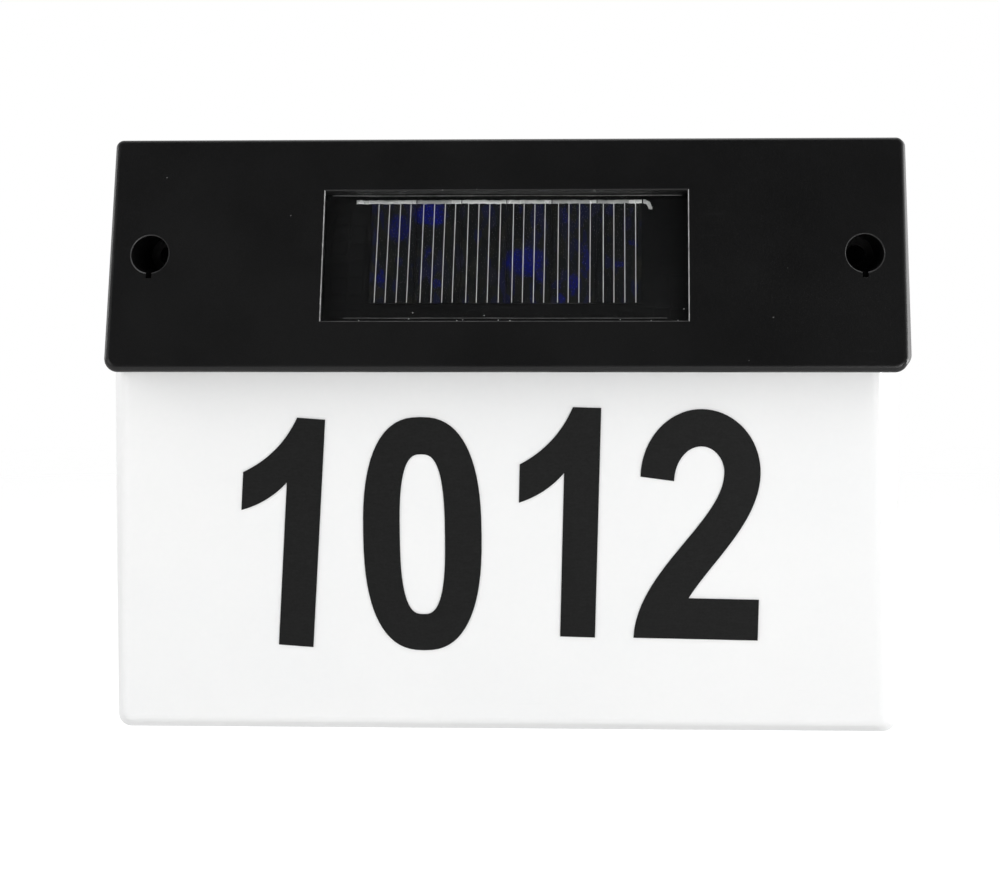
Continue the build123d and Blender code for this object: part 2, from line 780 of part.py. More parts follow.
with BuildPart() as light_box_front:
    add(box_skin)
    fillet(face_along(light_box_front, box_plane).edges().sort_by(Axis.Z)[:-1], box_edge_r)
    add(box_hollow, mode=Mode.SUBTRACT)
    # ledge for the back plate
    with BuildSketch(Plane.XZ.offset(back_plate_thickness)):
        add(box_outline(back_plate_thickness, box_wall / 2, box_wall / 2))
        add(
            box_outline(back_plate_thickness, box_wall + back_ledge_width, box_wall + back_ledge_width),
            mode=Mode.SUBTRACT,
        )
    extrude(amount=back_ledge_depth)
    # collar around the opening in the top wall
    with BuildSketch(Plane.XY.offset(face_bottom_z - box_wall)):
        with Locations((box_shift, -collar_depth)):
            Rectangle(2 * collar_half_width, collar_thickness)
    extrude(amount=collar_top_z - face_bottom_z + box_wall)
    with BuildSketch(Plane.XY.offset(face_bottom_z - box_wall)):
        with Locations((box_shift, -collar_depth)):
            Rectangle(2 * (collar_half_width - box_wall), collar_thickness - 2 * box_wall)
    extrude(amount=collar_top_z - face_bottom_z + box_wall, mode=Mode.SUBTRACT)
    # bosses for the LED board inside the collar, and for the screws from the housing
    with BuildSketch(Plane.XY.offset(collar_top_z)):
        with Locations(*led_screw_points):
            Rectangle(led_boss_side, led_boss_side)
    extrude(amount=-led_boss_height)
    with BuildSketch(Plane.XY.offset(collar_top_z)):
        with Locations(*led_screw_points):
            RegularPolygon(pilot_r, small_sides, major_radius=False)
    extrude(amount=-led_boss_height, mode=Mode.SUBTRACT)
    with BuildSketch(Plane.XY.offset(face_bottom_z - box_wall)):
        with Locations(*box_screw_points):
            RegularPolygon(box_screw_boss_r, round_sides)
    extrude(amount=-box_screw_boss_height)
    with BuildSketch(Plane.XY.offset(face_bottom_z)):
        with Locations(*box_screw_points):
            RegularPolygon(pilot_r, small_sides, major_radius=False)
    extrude(amount=-(box_screw_boss_height), mode=Mode.SUBTRACT)

light_box_front.part.label = "light_box_front"
export_step(light_box_front.part, "parts/light_box_front.step")

# ---------------------------------------------------------------- light box back
back_plate_inset = box_wall + back_plate_clearance
with BuildPart() as light_box_back:
    with BuildSketch(Plane.XZ):
        add(box_outline(back_plate_thickness, back_plate_inset, back_plate_inset))
    extrude(amount=back_plate_thickness)

light_box_back.part.label = "light_box_back"
export_step(light_box_back.part, "parts/light_box_back.step")

# ---------------------------------------------------------------- LED board, a lid on the collar
pin_hole_side = led_pin_side + 2 * pin_hole_clearance
pin_points = [
    (x + side * led_pin_spacing / 2, y) for x, y in led_points for side in (-1, 1)
]
with BuildPart() as led_board:
    with BuildSketch(Plane.XY.offset(collar_top_z)):
        with Locations((box_shift, -collar_depth)):
            Rectangle(
                2 * (collar_half_width - led_board_clearance), collar_thickness - 2 * led_board_clearance
            )
        with Locations(*led_screw_points):
            RegularPolygon(screw_hole_r, small_sides, major_radius=False, mode=Mode.SUBTRACT)
        with Locations(*pin_points):
            Rectangle(pin_hole_side, pin_hole_side, mode=Mode.SUBTRACT)
    extrude(amount=board_thickness)

led_board.part.label = "led_board"
export_step(led_board.part, "parts/led_board.step")

# ---------------------------------------------------------------- LEDs, hanging into the light box
for index, (led_x, led_y) in enumerate(led_points):
    with BuildPart() as led:
        with BuildSketch(Plane.XY.offset(collar_top_z)):
            with Locations((led_x, led_y)):
                RegularPolygon(led_flange_r, round_sides)
        extrude(amount=-led_flange_height)
        with BuildSketch(Plane.XY.offset(collar_top_z - led_flange_height)):
            with Locations((led_x, led_y)):
                RegularPolygon(led_r, round_sides)
        extrude(amount=-led_body_height)
        with BuildSketch(Plane.XY.offset(collar_top_z)):
            with Locations(*pin_points[2 * index:2 * index + 2]):
                Rectangle(led_pin_side, led_pin_side)
        extrude(amount=board_thickness + led_pin_stub)
    led.part.label = f"led_{index + 1}"
    export_step(led.part, f"parts/led_{index + 1}.step")

# ---------------------------------------------------------------- control board
with BuildPart() as control_board:
    with BuildSketch(Plane.XZ.offset(control_depth)):
        with Locations((control_x, control_z)):
            Rectangle(control_width, control_height)
        with Locations(*post_points):
            RegularPolygon(screw_hole_r, small_sides, major_radius=False, mode=Mode.SUBTRACT)
    extrude(amount=board_thickness)

control_board.part.label = "control_board"
export_step(control_board.part, "parts/control_board.step")

chip_x = control_x + chip_dx
chip_z = control_z + chip_dz
with BuildPart() as driver_chip:
    with BuildSketch(Plane.XZ.offset(control_front_depth)):
        with Locations((chip_x, chip_z)):
            Rectangle(chip_length, chip_width)
    extrude(amount=chip_height)
    with BuildSketch(Plane.XZ.offset(control_front_depth)):
        with Locations((chip_x, chip_z)):
            with GridLocations(chip_leg_pitch, chip_width + chip_leg_length, 3, 2):
                Rectangle(chip_leg_width, chip_leg_length)
    extrude(amount=chip_leg_thickness)

driver_chip.part.label = "driver_chip"
export_step(driver_chip.part, "parts/driver_chip.step")

choke_x = control_x + choke_dx
choke_z = control_z + choke_dz
with BuildPart() as choke_coil:
    with BuildSketch(Plane.XZ.offset(control_front_depth)):
        with Locations((choke_x, choke_z)):
            RegularPolygon(choke_waist_r, round_sides)
    extrude(amount=choke_height)
    for flange_depth in (control_front_depth, control_front_depth + choke_height - choke_flange):
        with BuildSketch(Plane.XZ.offset(flange_depth)):
            with Locations((choke_x, choke_z)):
                RegularPolygon(choke_r, round_sides)
        extrude(amount=choke_flange)

choke_coil.part.label = "choke_coil"
export_step(choke_coil.part, "parts/choke_coil.step")

# ---------------------------------------------------------------- slide switch
# The slider rests at the left end of its pocket, which is off, and slides right to on.
with BuildPart() as switch_body:
    with BuildSketch(Plane.XZ.offset(switch_depth)):
        with Locations((switch_x, switch_z)):
            Rectangle(switch_length, switch_width)
    extrude(amount=switch_height)
    with BuildSketch(Plane.XZ.offset(switch_depth)):
        with Locations((switch_x, switch_z)):
            Rectangle(slider_pocket_length, slider_width + 2 * slider_clearance)
    extrude(amount=slider_pocket_depth, mode=Mode.SUBTRACT)

switch_body.part.label = "switch_body"
export_step(switch_body.part, "parts/switch_body.step")

with BuildPart() as switch_slider:
    with BuildSketch(Plane.XZ.offset(slider_recess)):
        with Locations((switch_x - slider_travel / 2, switch_z)):
            Rectangle(slider_length, slider_width)
    extrude(amount=switch_depth + slider_pocket_depth - slider_floor_clearance - slider_recess)

switch_slider.part.label = "switch_slider"
export_step(switch_slider.part, "parts/switch_slider.step")

# ---------------------------------------------------------------- screws, one node for each kind
post_screw_length = control_front_depth - cover_thickness - pilot_spare
cover_head_plane = Plane(origin=(0, -counterbore_depth, 0), x_dir=(-1, 0, 0), z_dir=(0, 1, 0))
control_head_plane = Plane.XZ.offset(control_front_depth)
led_head_plane = Plane.XY.offset(led_board_top_z)
box_head_plane = Plane.XY.offset(face_bottom_z + housing_wall)
clamp_head_plane = Plane(
    origin=face_plane.offset(-(solar_board_depth + board_thickness)).origin,
    x_dir=(-1, 0, 0),
    z_dir=-face_plane.z_dir,
)
screw_kinds = {
    "cover_screws": (cover_head_plane, cover_screw_points, screw_head_r, screw_head_height, screw_length),
    "control_screws": (control_head_plane, post_points, screw_head_r, screw_head_height, post_screw_length),
    "led_board_screws": (led_head_plane, led_screw_points, screw_head_r, screw_head_height, screw_length),
    "light_box_screws": (box_head_plane, box_screw_points, screw_head_r, screw_head_height, screw_length),
    "solar_board_screws": (
        clamp_head_plane, clamp_points, clamp_head_r, clamp_head_height, clamp_screw_length,
    ),
}
for screw_name, (head_plane, points, head_r, head_height, length) in screw_kinds.items():
    with BuildPart() as screws:
        with BuildSketch(head_plane):
            with Locations(*points):
                RegularPolygon(head_r, round_sides)
        extrude(amount=head_height)
        with BuildSketch(head_plane):
            with Locations(*points):
                RegularPolygon(screw_r, small_sides)
        extrude(amount=-length)
        with BuildSketch(head_plane.offset(head_height)):
            with Locations(*points):
                Rectangle(recess_length, recess_width)
                Rectangle(recess_width, recess_length)
        extrude(amount=-recess_depth, mode=Mode.SUBTRACT)
    screws.part.label = screw_name
    export_step(screws.part, f"parts/{screw_name}.step")

# ---------------------------------------------------------------- leads between the boards
# Each lead leaves its tab or board square to it and ends square on a pad of the control board.
tab_front_depth = contact_tab_depth + half_strip
lead_run_depth = tab_front_depth + lead_stand_off
pad_run_depth = control_front_depth + lead_stand_off
minus_tab_x = bay_left - bay_wall - contact_tab_length / 2
plus_tab_x = bay_right + bay_wall + contact_tab_length / 2
solar_rear_plane = face_plane.offset(-(solar_board_depth + board_thickness))
solar_off_plane = solar_rear_plane.offset(-lead_stand_off)
solar_start = solar_rear_plane.from_local_coords(Vector(0, solar_tap_up, 0))
solar_off = solar_off_plane.from_local_coords(Vector(0, solar_tap_up, 0))


def battery_route(tab_x, pad):
    """From a contact tab forward, up beside the bay, across to the pad and back onto it."""
    pad_x, pad_z = pad
    return [
        (tab_x, -tab_front_depth, bay_z),
        (tab_x, -lead_run_depth, bay_z),
        (tab_x, -lead_run_depth, pad_z),
        (pad_x, -lead_run_depth, pad_z),
        (pad_x, -control_front_depth, pad_z),
    ]


def led_route(x):
    """From the LED board up in front of the control board and back onto its pad."""
    return [
        (x, -pad_run_depth, led_board_top_z),
        (x, -pad_run_depth, led_pad_z),
        (x, -control_front_depth, led_pad_z),
    ]


lead_routes = {
    "lead_battery_minus": battery_route(minus_tab_x, minus_pad),
    "lead_battery_plus": battery_route(plus_tab_x, plus_pad),
    "lead_solar_plus": [
        (solar_plus_x, solar_start.Y, solar_start.Z),
        (solar_plus_x, solar_off.Y, solar_off.Z),
        (solar_plus_pad_x, -pad_run_depth, solar_off.Z),
        (solar_plus_pad_x, -control_front_depth, solar_off.Z),
    ],
    "lead_solar_minus": [
        (solar_minus_pad_x, solar_start.Y, solar_start.Z),
        (solar_minus_pad_x, solar_off.Y, solar_off.Z),
        (solar_minus_pad_x, -control_front_depth, solar_off.Z),
    ],
    "lead_led_plus": led_route(led_plus_x),
    "lead_led_minus": led_route(led_minus_x),
}
for lead_name, points in lead_routes.items():
    with BuildPart() as lead:
        with BuildLine() as route:
            FilletPolyline(*points, radius=lead_bend_r)
        with BuildSketch(Plane(origin=points[0], z_dir=route.line % 0)):
            RegularPolygon(lead_r, lead_sides)
        sweep(path=route.line)
    lead.part.label = lead_name
    export_step(lead.part, f"parts/{lead_name}.step")


# ---------------------------------------------------------------- numerals
def spot_plane(spot):
    """Plane on the panel at a numeral's place: sideways, upwards and turn in degrees."""
    sideways, upwards, turn = spot
    return Plane(box_plane.location * Location((sideways, upwards, 0), (0, 0, turn)))


def oval(width, height, tip_r):
    """Closed oval of four arcs: two tight ones at its tips, two long ones at its sides."""
    rise = height / 2 - tip_r
    side_r = (width**2 / 4 + rise**2 - tip_r**2) / (width - 2 * tip_r)
    reach = side_r - width / 2
    join = degrees(atan2(rise, reach))
    with BuildSketch() as outline:
        with BuildLine():
            for turn in (0, 180):
                way = cos(radians(turn))
                CenterArc((-way * reach, 0), side_r, turn - join, 2 * join)
                CenterArc((0, way * rise), tip_r, turn + join, 180 - 2 * join)
        make_face()
    return outline.sketch


def numeral_one(spot, name):
    """Numeral one with a curved flag; its spot is the lower right corner of the stem."""
    with BuildPart() as numeral:
        with BuildSketch(spot_plane(spot)):
            with BuildLine():
                Polyline(
                    (-one_top_width, numeral_height),
                    (0, numeral_height),
                    (0, 0),
                    (-stem_width, 0),
                    (-stem_width, one_inner_z),
                )
                SagittaArc((-stem_width, one_inner_z), (-one_tip_reach, one_tip_lower), -one_lower_sag)
                Line((-one_tip_reach, one_tip_lower), (-one_tip_reach, one_tip_upper))
                SagittaArc((-one_tip_reach, one_tip_upper), (-one_top_width, numeral_height), one_upper_sag)
            make_face()
        extrude(amount=film_thickness)
    numeral.part.label = name
    export_step(numeral.part, f"parts/{name}.step")
    return numeral.part


numeral_one_left = numeral_one(one_left_spot, "numeral_one_left")
numeral_one_right = numeral_one(one_right_spot, "numeral_one_right")

with BuildPart() as numeral_zero:
    with BuildSketch(spot_plane(zero_spot)):
        add(oval(zero_width, zero_height, zero_tip_r))
        add(oval(zero_inner_width, zero_inner_height, zero_inner_tip_r), mode=Mode.SUBTRACT)
    extrude(amount=film_thickness)

numeral_zero.part.label = "numeral_zero"
export_step(numeral_zero.part, "parts/numeral_zero.step")

# The bowl is four quarter ellipses, outer and inner; two long curves carry the neck down to the bar.
shoulder_z = numeral_height - two_shoulder_drop
hook_z = numeral_height - two_hook_drop
inner_top_z = numeral_height - two_top_stroke
hook_inner_z = hook_z - two_hook_rise
neck_x = two_width - two_stroke

with BuildPart() as numeral_two:
    with BuildSketch(spot_plane(two_spot)):
        with BuildLine():
            EllipticalCenterArc(
                (two_crown_x, shoulder_z),
                two_width - two_crown_x,
                two_shoulder_drop,
                0,
                arc_size=quarter_angle,
            )
            EllipticalCenterArc(
                (two_crown_x, hook_z),
                two_crown_x,
                two_hook_drop,
                quarter_angle,
                arc_size=quarter_angle,
            )
            EllipticalCenterArc(
                (two_crown_x, hook_inner_z),
                two_crown_x - two_stroke,
                inner_top_z - hook_inner_z,
                quarter_angle,
                arc_size=quarter_angle,
            )
            EllipticalCenterArc(
                (two_crown_x, shoulder_z),
                neck_x - two_crown_x,
                inner_top_z - shoulder_z,
                0,
                arc_size=quarter_angle,
            )
            Line((0, hook_z), (two_stroke, hook_inner_z))
            Bezier(
                (two_width, shoulder_z),
                (two_width, two_neck_z),
                two_outer_pull,
                (two_notch_x, two_bar_height),
            )
            Bezier((neck_x, shoulder_z), (neck_x, two_neck_z), two_inner_pull, (0, 0))
            Polyline((two_notch_x, two_bar_height), (two_width, two_bar_height), (two_width, 0), (0, 0))
        make_face()
    extrude(amount=film_thickness)

numeral_two.part.label = "numeral_two"
export_step(numeral_two.part, "parts/numeral_two.step")
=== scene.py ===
"""Looks of an illuminated house number sign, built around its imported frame.

A black wedge housing with a solar window stands above a translucent light box that carries the
numerals. Sizes are in metres, in the frame of the part: +X to the right, +Z up, +Y into the wall.
"""

import json
import logging
import math
from dataclasses import dataclass, field
from enum import Enum
from typing import Iterable

import bmesh
import bpy
from mathutils import Matrix, Vector, noise
from mathutils.geometry import interpolate_bezier


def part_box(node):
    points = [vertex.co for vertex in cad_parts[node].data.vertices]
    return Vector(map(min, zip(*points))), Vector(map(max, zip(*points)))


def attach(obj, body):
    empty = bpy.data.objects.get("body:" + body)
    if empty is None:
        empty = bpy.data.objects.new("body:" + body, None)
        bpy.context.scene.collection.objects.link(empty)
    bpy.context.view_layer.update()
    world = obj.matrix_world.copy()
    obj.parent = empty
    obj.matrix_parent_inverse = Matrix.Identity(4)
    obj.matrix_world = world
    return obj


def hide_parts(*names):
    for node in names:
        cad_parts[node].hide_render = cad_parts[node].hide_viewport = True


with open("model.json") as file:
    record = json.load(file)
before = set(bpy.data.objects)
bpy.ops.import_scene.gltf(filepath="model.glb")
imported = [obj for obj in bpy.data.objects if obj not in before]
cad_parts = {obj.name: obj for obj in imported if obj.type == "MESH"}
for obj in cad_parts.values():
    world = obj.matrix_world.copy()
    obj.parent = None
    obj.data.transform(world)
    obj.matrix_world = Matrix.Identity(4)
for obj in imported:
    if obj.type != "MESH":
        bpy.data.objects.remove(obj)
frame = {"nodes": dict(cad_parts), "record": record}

LOG = logging.getLogger("house_number_sign")
MM = 0.001
IMAGE_WIDTH = 1000
SENSOR_WIDTH = 36.0
ARC_STEPS = 16
BEZIER_POINTS = 24
OVAL_POINTS = 72

Colour = tuple[float, float, float]
Socket = bpy.types.NodeSocket
Node = bpy.types.Node
Object = bpy.types.Object
Material = bpy.types.Material
Mesh = bpy.types.Mesh


class Body(Enum):
    """The body that the added pieces ride on."""

    SIGN = "sign"


class RibbonHighlight(Enum):
    """How much painted highlight a part of tinned ribbon carries in its colour: dull, satin or bright."""

    DULL = 0.0
    SATIN = 0.45
    BRIGHT = 1.0


# ---------------------------------------------------------------- node trees


class Wiring:
    """Adds nodes to one tree and joins them by their sockets."""

    def __init__(self, tree: bpy.types.NodeTree) -> None:
        """Starts on a tree.

        Args:
            tree: The shader or geometry tree that the nodes go into.
        """
        self.tree = tree

    def feed(self, socket: Socket, value: object) -> None:
        """Links a socket to another one, or gives it a plain value.

        Args:
            socket: The input to feed.
            value: An output socket, a number, a colour or a data block.
        """
        if isinstance(value, bpy.types.NodeSocket):
            self.tree.links.new(value, socket)
        else:
            socket.default_value = value

    def add(self, kind: str, inputs: dict | None = None, **settings: object) -> Node:
        """Adds one node.

        Args:
            kind: The node's type name.
            inputs: What to feed to its inputs, by name or by index.
            **settings: Properties of the node itself.

        Returns:
            The new node.
        """
        node = self.tree.nodes.new(kind)
        for name, value in settings.items():
            setattr(node, name, value)
        for key, value in (inputs or {}).items():
            self.feed(node.inputs[key], value)
        return node

    def math(self, operation: str, first: object, second: object = 0.0, clamp: bool = False) -> Socket:
        """Output of a Math node on two values."""
        inputs = {0: first, 1: second}
        return self.add("ShaderNodeMath", inputs, operation=operation, use_clamp=clamp).outputs[0]

    def times(self, first: object, second: object) -> Socket:
        """Product of two values."""
        return self.math("MULTIPLY", first, second)

    def plus(self, first: object, second: object) -> Socket:
        """Sum of two values."""
        return self.math("ADD", first, second)

    def minus(self, first: object, second: object) -> Socket:
        """First value less the second."""
        return self.math("SUBTRACT", first, second)

    def vector_math(self, operation: str, first: object, second: object = (0.0, 0.0, 0.0)) -> Node:
        """A Vector Math node on two vectors."""
        return self.add("ShaderNodeVectorMath", {0: first, 1: second}, operation=operation)

    def remap(
        self, value: Socket, low: float, high: float, to_low: float = 0.0, to_high: float = 1.0
    ) -> Socket:
        """Output of a clamped Map Range node.

        Args:
            value: The value to map.
            low: What becomes to_low.
            high: What becomes to_high.
            to_low: The output at low.
            to_high: The output at high.

        Returns:
            The mapped value.
        """
        inputs = {0: value, 1: low, 2: high, 3: to_low, 4: to_high}
        return self.add("ShaderNodeMapRange", inputs, clamp=True).outputs[0]

    def mix(self, factor: object, first: object, second: object) -> Socket:
        """Output of a Mix node between two colours."""
        return self.add("ShaderNodeMix", {0: factor, 6: first, 7: second}, data_type="RGBA").outputs[2]

    def between(self, factor: Socket, first: object, second: object) -> Socket:
        """Output of a Mix node between two numbers."""
        return self.add("ShaderNodeMix", {0: factor, 2: first, 3: second}, data_type="FLOAT").outputs[0]

    def noise(self, vector: Socket, scale: float, detail: float = 2.0) -> Socket:
        """Factor of a Noise Texture at one scale."""
        inputs = {"Vector": vector, "Scale": scale, "Detail": detail}
        return self.add("ShaderNodeTexNoise", inputs).outputs["Fac"]

    def stretched(self, vector: Socket, factors: tuple[float, float, float]) -> Socket:
        """The vector times one factor for each axis."""
        return self.vector_math("MULTIPLY", vector, factors).outputs[0]

    def combined(self, x: object = 0.0, y: object = 0.0, z: object = 0.0) -> Socket:
        """Output of a Combine XYZ node."""
        return self.add("ShaderNodeCombineXYZ", {0: x, 1: y, 2: z}).outputs[0]

    def instances(self, points: Socket, shape: Socket, **more: object) -> Socket:
        """Output of an Instance on Points node, with more of its inputs by name."""
        inputs = {"Points": points, "Instance": shape, **more}
        return self.add("GeometryNodeInstanceOnPoints", inputs).outputs[0]

    def random(self, low: object, high: object, seed: object) -> Socket:
        """Output of a Random Value node between two numbers."""
        inputs = {2: low, 3: high, "Seed": seed}
        return self.add("FunctionNodeRandomValue", inputs, data_type="FLOAT").outputs[1]

    def bump(self, height: Socket, depth: float, strength: float) -> Socket:
        """Normal of a Bump node.

        Args:
            height: The height over the surface, from 0 to 1.
            depth: What a height of 1 stands for, in metres.
            strength: How much of it shows.

        Returns:
            The bumped normal.
        """
        inputs = {"Height": height, "Distance": depth, "Strength": strength}
        return self.add("ShaderNodeBump", inputs).outputs["Normal"]


def rgba(colour: Colour) -> tuple[float, float, float, float]:
    """The colour with full alpha."""
    return (*colour, 1.0)


def shaded(colour: Colour, factor: float) -> tuple[float, float, float, float]:
    """The colour made lighter or darker by a factor, with full alpha."""
    return (*[channel * factor for channel in colour], 1.0)


class GroupShelf:
    """Shader groups that several finishes share, each built when it is first asked for."""

    def __init__(self) -> None:
        """Starts with no group built."""
        self.built: dict[str, bpy.types.ShaderNodeTree] = {}

    def open(self, name: str, inputs: dict[str, float], outputs: Iterable[str]) -> tuple[Wiring, Node, Node]:
        """Starts a group that takes a vector and some numbers.

        Args:
            name: The group's name.
            inputs: Its number inputs with their defaults.
            outputs: Its number outputs.

        Returns:
            The group's wiring, its input node and its output node.
        """
        tree = bpy.data.node_groups.new(name, "ShaderNodeTree")
        tree.interface.new_socket(name="Vector", in_out="INPUT", socket_type="NodeSocketVector")
        for label, default in inputs.items():
            socket = tree.interface.new_socket(name=label, in_out="INPUT", socket_type="NodeSocketFloat")
            socket.default_value = default
        for label in outputs:
            tree.interface.new_socket(name=label, in_out="OUTPUT", socket_type="NodeSocketFloat")
        self.built[name] = tree
        wires = Wiring(tree)
        return wires, wires.add("NodeGroupInput"), wires.add("NodeGroupOutput")

    def grain(self) -> bpy.types.ShaderNodeTree:
        """Spark-eroded mould grain: rounded pits over a finer roughness.

        Returns:
            The group, with the inputs Vector and Density and the output Height.
        """
        if "moulded_grain" not in self.built:
            wires, source, target = self.open("moulded_grain", {"Density": 4000.0}, ["Height"])
            pits = wires.add(
                "ShaderNodeTexVoronoi",
                {"Vector": source.outputs["Vector"], "Scale": source.outputs["Density"]},
                feature="SMOOTH_F1",
            ).outputs["Distance"]
            fine_density = wires.times(source.outputs["Density"], 2.3)
            fine = wires.noise(source.outputs["Vector"], fine_density, 3.0)
            wires.feed(target.inputs["Height"], wires.plus(pits, wires.times(fine, 0.6)))
        return self.built["moulded_grain"]

    def marks(self) -> bpy.types.ShaderNodeTree:
        """Handling: cloudy rubbed areas, fine scratches and specks of dust.

        Returns:
            The group, with the inputs Vector, Scratches and Dust Size and the outputs Rubbed,
            Scratch and Dust.
        """
        if "handling_marks" not in self.built:
            wires, source, target = self.open(
                "handling_marks", {"Scratches": 0.5, "Dust Size": 900.0}, ["Rubbed", "Scratch", "Dust"]
            )
            vector = source.outputs["Vector"]
            clouds = wires.remap(wires.noise(vector, 38.0, 4.0), 0.38, 0.66)
            wires.feed(target.inputs["Rubbed"], clouds)
            hair = wires.noise(wires.stretched(vector, (90.0, 90.0, 1400.0)), 1.0, 2.0)
            lines = wires.remap(hair, 0.68, 0.74)
            places = wires.remap(wires.noise(vector, 55.0, 1.0), 0.5, 0.62)
            scratch = wires.times(wires.times(lines, places), source.outputs["Scratches"])
            wires.feed(target.inputs["Scratch"], scratch)
            specks = wires.add(
                "ShaderNodeTexVoronoi", {"Vector": vector, "Scale": source.outputs["Dust Size"]}, feature="F1"
            )
            near = wires.math("LESS_THAN", specks.outputs["Distance"], 0.16)
            chance = wires.add("ShaderNodeSeparateColor", {0: specks.outputs["Color"]}).outputs[0]
            rare = wires.math("GREATER_THAN", chance, 0.993)
            wires.feed(target.inputs["Dust"], wires.times(near, rare))
        return self.built["handling_marks"]


GROUPS = GroupShelf()


class Paint:
    """A material being made: its wiring, its Principled shader and its object coordinates."""

    def __init__(self, name: str, roughness: float, metallic: float = 0.0) -> None:
        """Starts a material with one Principled shader.

        Args:
            name: The material's name.
            roughness: Its roughness, where no node varies it.
            metallic: 1 for bare metal, otherwise 0.
        """
        self.material = bpy.data.materials.new(name)
        self.material.use_nodes = True
        self.wires = Wiring(self.material.node_tree)
        self.shader = self.material.node_tree.nodes["Principled BSDF"]
        self.shader.inputs["Roughness"].default_value = roughness
        self.shader.inputs["Metallic"].default_value = metallic
        self.place = self.wires.add("ShaderNodeTexCoord").outputs["Object"]

    def set(self, socket: str, value: object) -> None:
        """Feeds one input of the Principled shader."""
        self.wires.feed(self.shader.inputs[socket], value)

    def rub(self, marks: Node, plain: float, rubbed: float) -> None:
        """Varies the roughness from plain places to rubbed ones.

        Args:
            marks: The handling marks on this material.
            plain: Roughness where nothing has rubbed.
            rubbed: Roughness where handling has.
        """
        self.set("Roughness", self.wires.remap(marks.outputs["Rubbed"], 0.0, 1.0, plain, rubbed))

    def relief(self, height: Socket, depth: float, strength: float) -> None:
        """Gives the surface a relief, whose height of 1 stands for the depth in metres."""
        self.set("Normal", self.wires.bump(height, depth, strength))

    def group(self, tree: bpy.types.ShaderNodeTree, **inputs: float) -> Node:
        """Places a shared group, fed with the object coordinates.

        Args:
            tree: The group.
            **inputs: Values of its number inputs, with underscores for spaces.

        Returns:
            The group node.
        """
        node = self.wires.add("ShaderNodeGroup", node_tree=tree)
        self.wires.feed(node.inputs["Vector"], self.place)
        for label, value in inputs.items():
            node.inputs[label.replace("_", " ")].default_value = value
        return node


# ---------------------------------------------------------------- finishes


@dataclass(frozen=True)
class PaintedEdgeHighlights:
    """Painted highlights that lighten the black moulding round the window and the screw holes."""

    panel: "PanelPlane"
    low: Vector
    high: Vector
    hole_x: float
    hole_r: float
    line: float = 0.12 * MM
    depth: float = 0.5 * MM
    sides: float = 1.0
    sill: float = 0.22
    rim: float = 0.2

    def window(self, wires: Wiring, across: Socket, up: Socket) -> Socket:
        """The painted highlight line along the sides and the sill of the window, broken up a little.

        Args:
            wires: The material's wiring.
            across: Place across the face.
            up: Place up the face.

        Returns:
            A mask from 0 to 1.
        """
        middle, half = (self.low + self.high) / 2, (self.high - self.low) / 2
        beyond_x = wires.minus(wires.math("ABSOLUTE", wires.minus(across, middle.x)), half.x)
        beyond_y = wires.minus(wires.math("ABSOLUTE", wires.minus(up, middle.y)), half.y)
        off_line = wires.math("ABSOLUTE", wires.math("MAXIMUM", beyond_x, beyond_y))
        line = wires.remap(off_line, self.line, self.line * 0.6)
        on_side = wires.math("GREATER_THAN", beyond_x, beyond_y)
        on_sill = wires.math("LESS_THAN", up, middle.y)
        sill = wires.times(on_sill, self.sill)
        strength = wires.math("MAXIMUM", wires.times(on_side, self.sides), sill)
        return wires.times(line, strength)

    def holes(self, wires: Wiring, place: Socket) -> Socket:
        """The painted highlight on the rims of the screw holes, brightest on their left.

        Args:
            wires: The material's wiring.
            place: The place in the frame.

        Returns:
            A mask from 0 to 1.
        """
        parts = wires.add("ShaderNodeSeparateXYZ", {0: place})
        side = wires.math("SIGN", parts.outputs[0])
        across = wires.minus(parts.outputs[0], wires.times(side, self.hole_x))
        offset = wires.combined(across, 0.0, parts.outputs[2])
        reach = wires.vector_math("LENGTH", offset).outputs["Value"]
        off_rim = wires.math("ABSOLUTE", wires.minus(reach, self.hole_r))
        ring = wires.remap(off_rim, self.line, self.line * 0.4)
        left = wires.remap(across, self.hole_r * 0.6, -self.hole_r, 0.25, 1.0)
        return wires.times(wires.times(ring, left), self.rim)

    def mask(self, wires: Wiring, place: Socket) -> Socket:
        """All painted edge highlights together.

        Args:
            wires: The material's wiring.
            place: The place in the frame.

        Returns:
            A mask from 0 to 1.
        """
        flat = self.panel.coordinates(wires, place)
        broken = wires.remap(wires.noise(place, 520.0, 3.0), 0.3, 0.62, 0.45, 1.0)
        near_face = wires.remap(wires.math("ABSOLUTE", flat[2]), self.depth, self.depth * 0.7)
        edge_highlights = wires.math("MAXIMUM", self.window(wires, flat[0], flat[1]), self.holes(wires, place))
        return wires.times(wires.times(edge_highlights, broken), near_face)


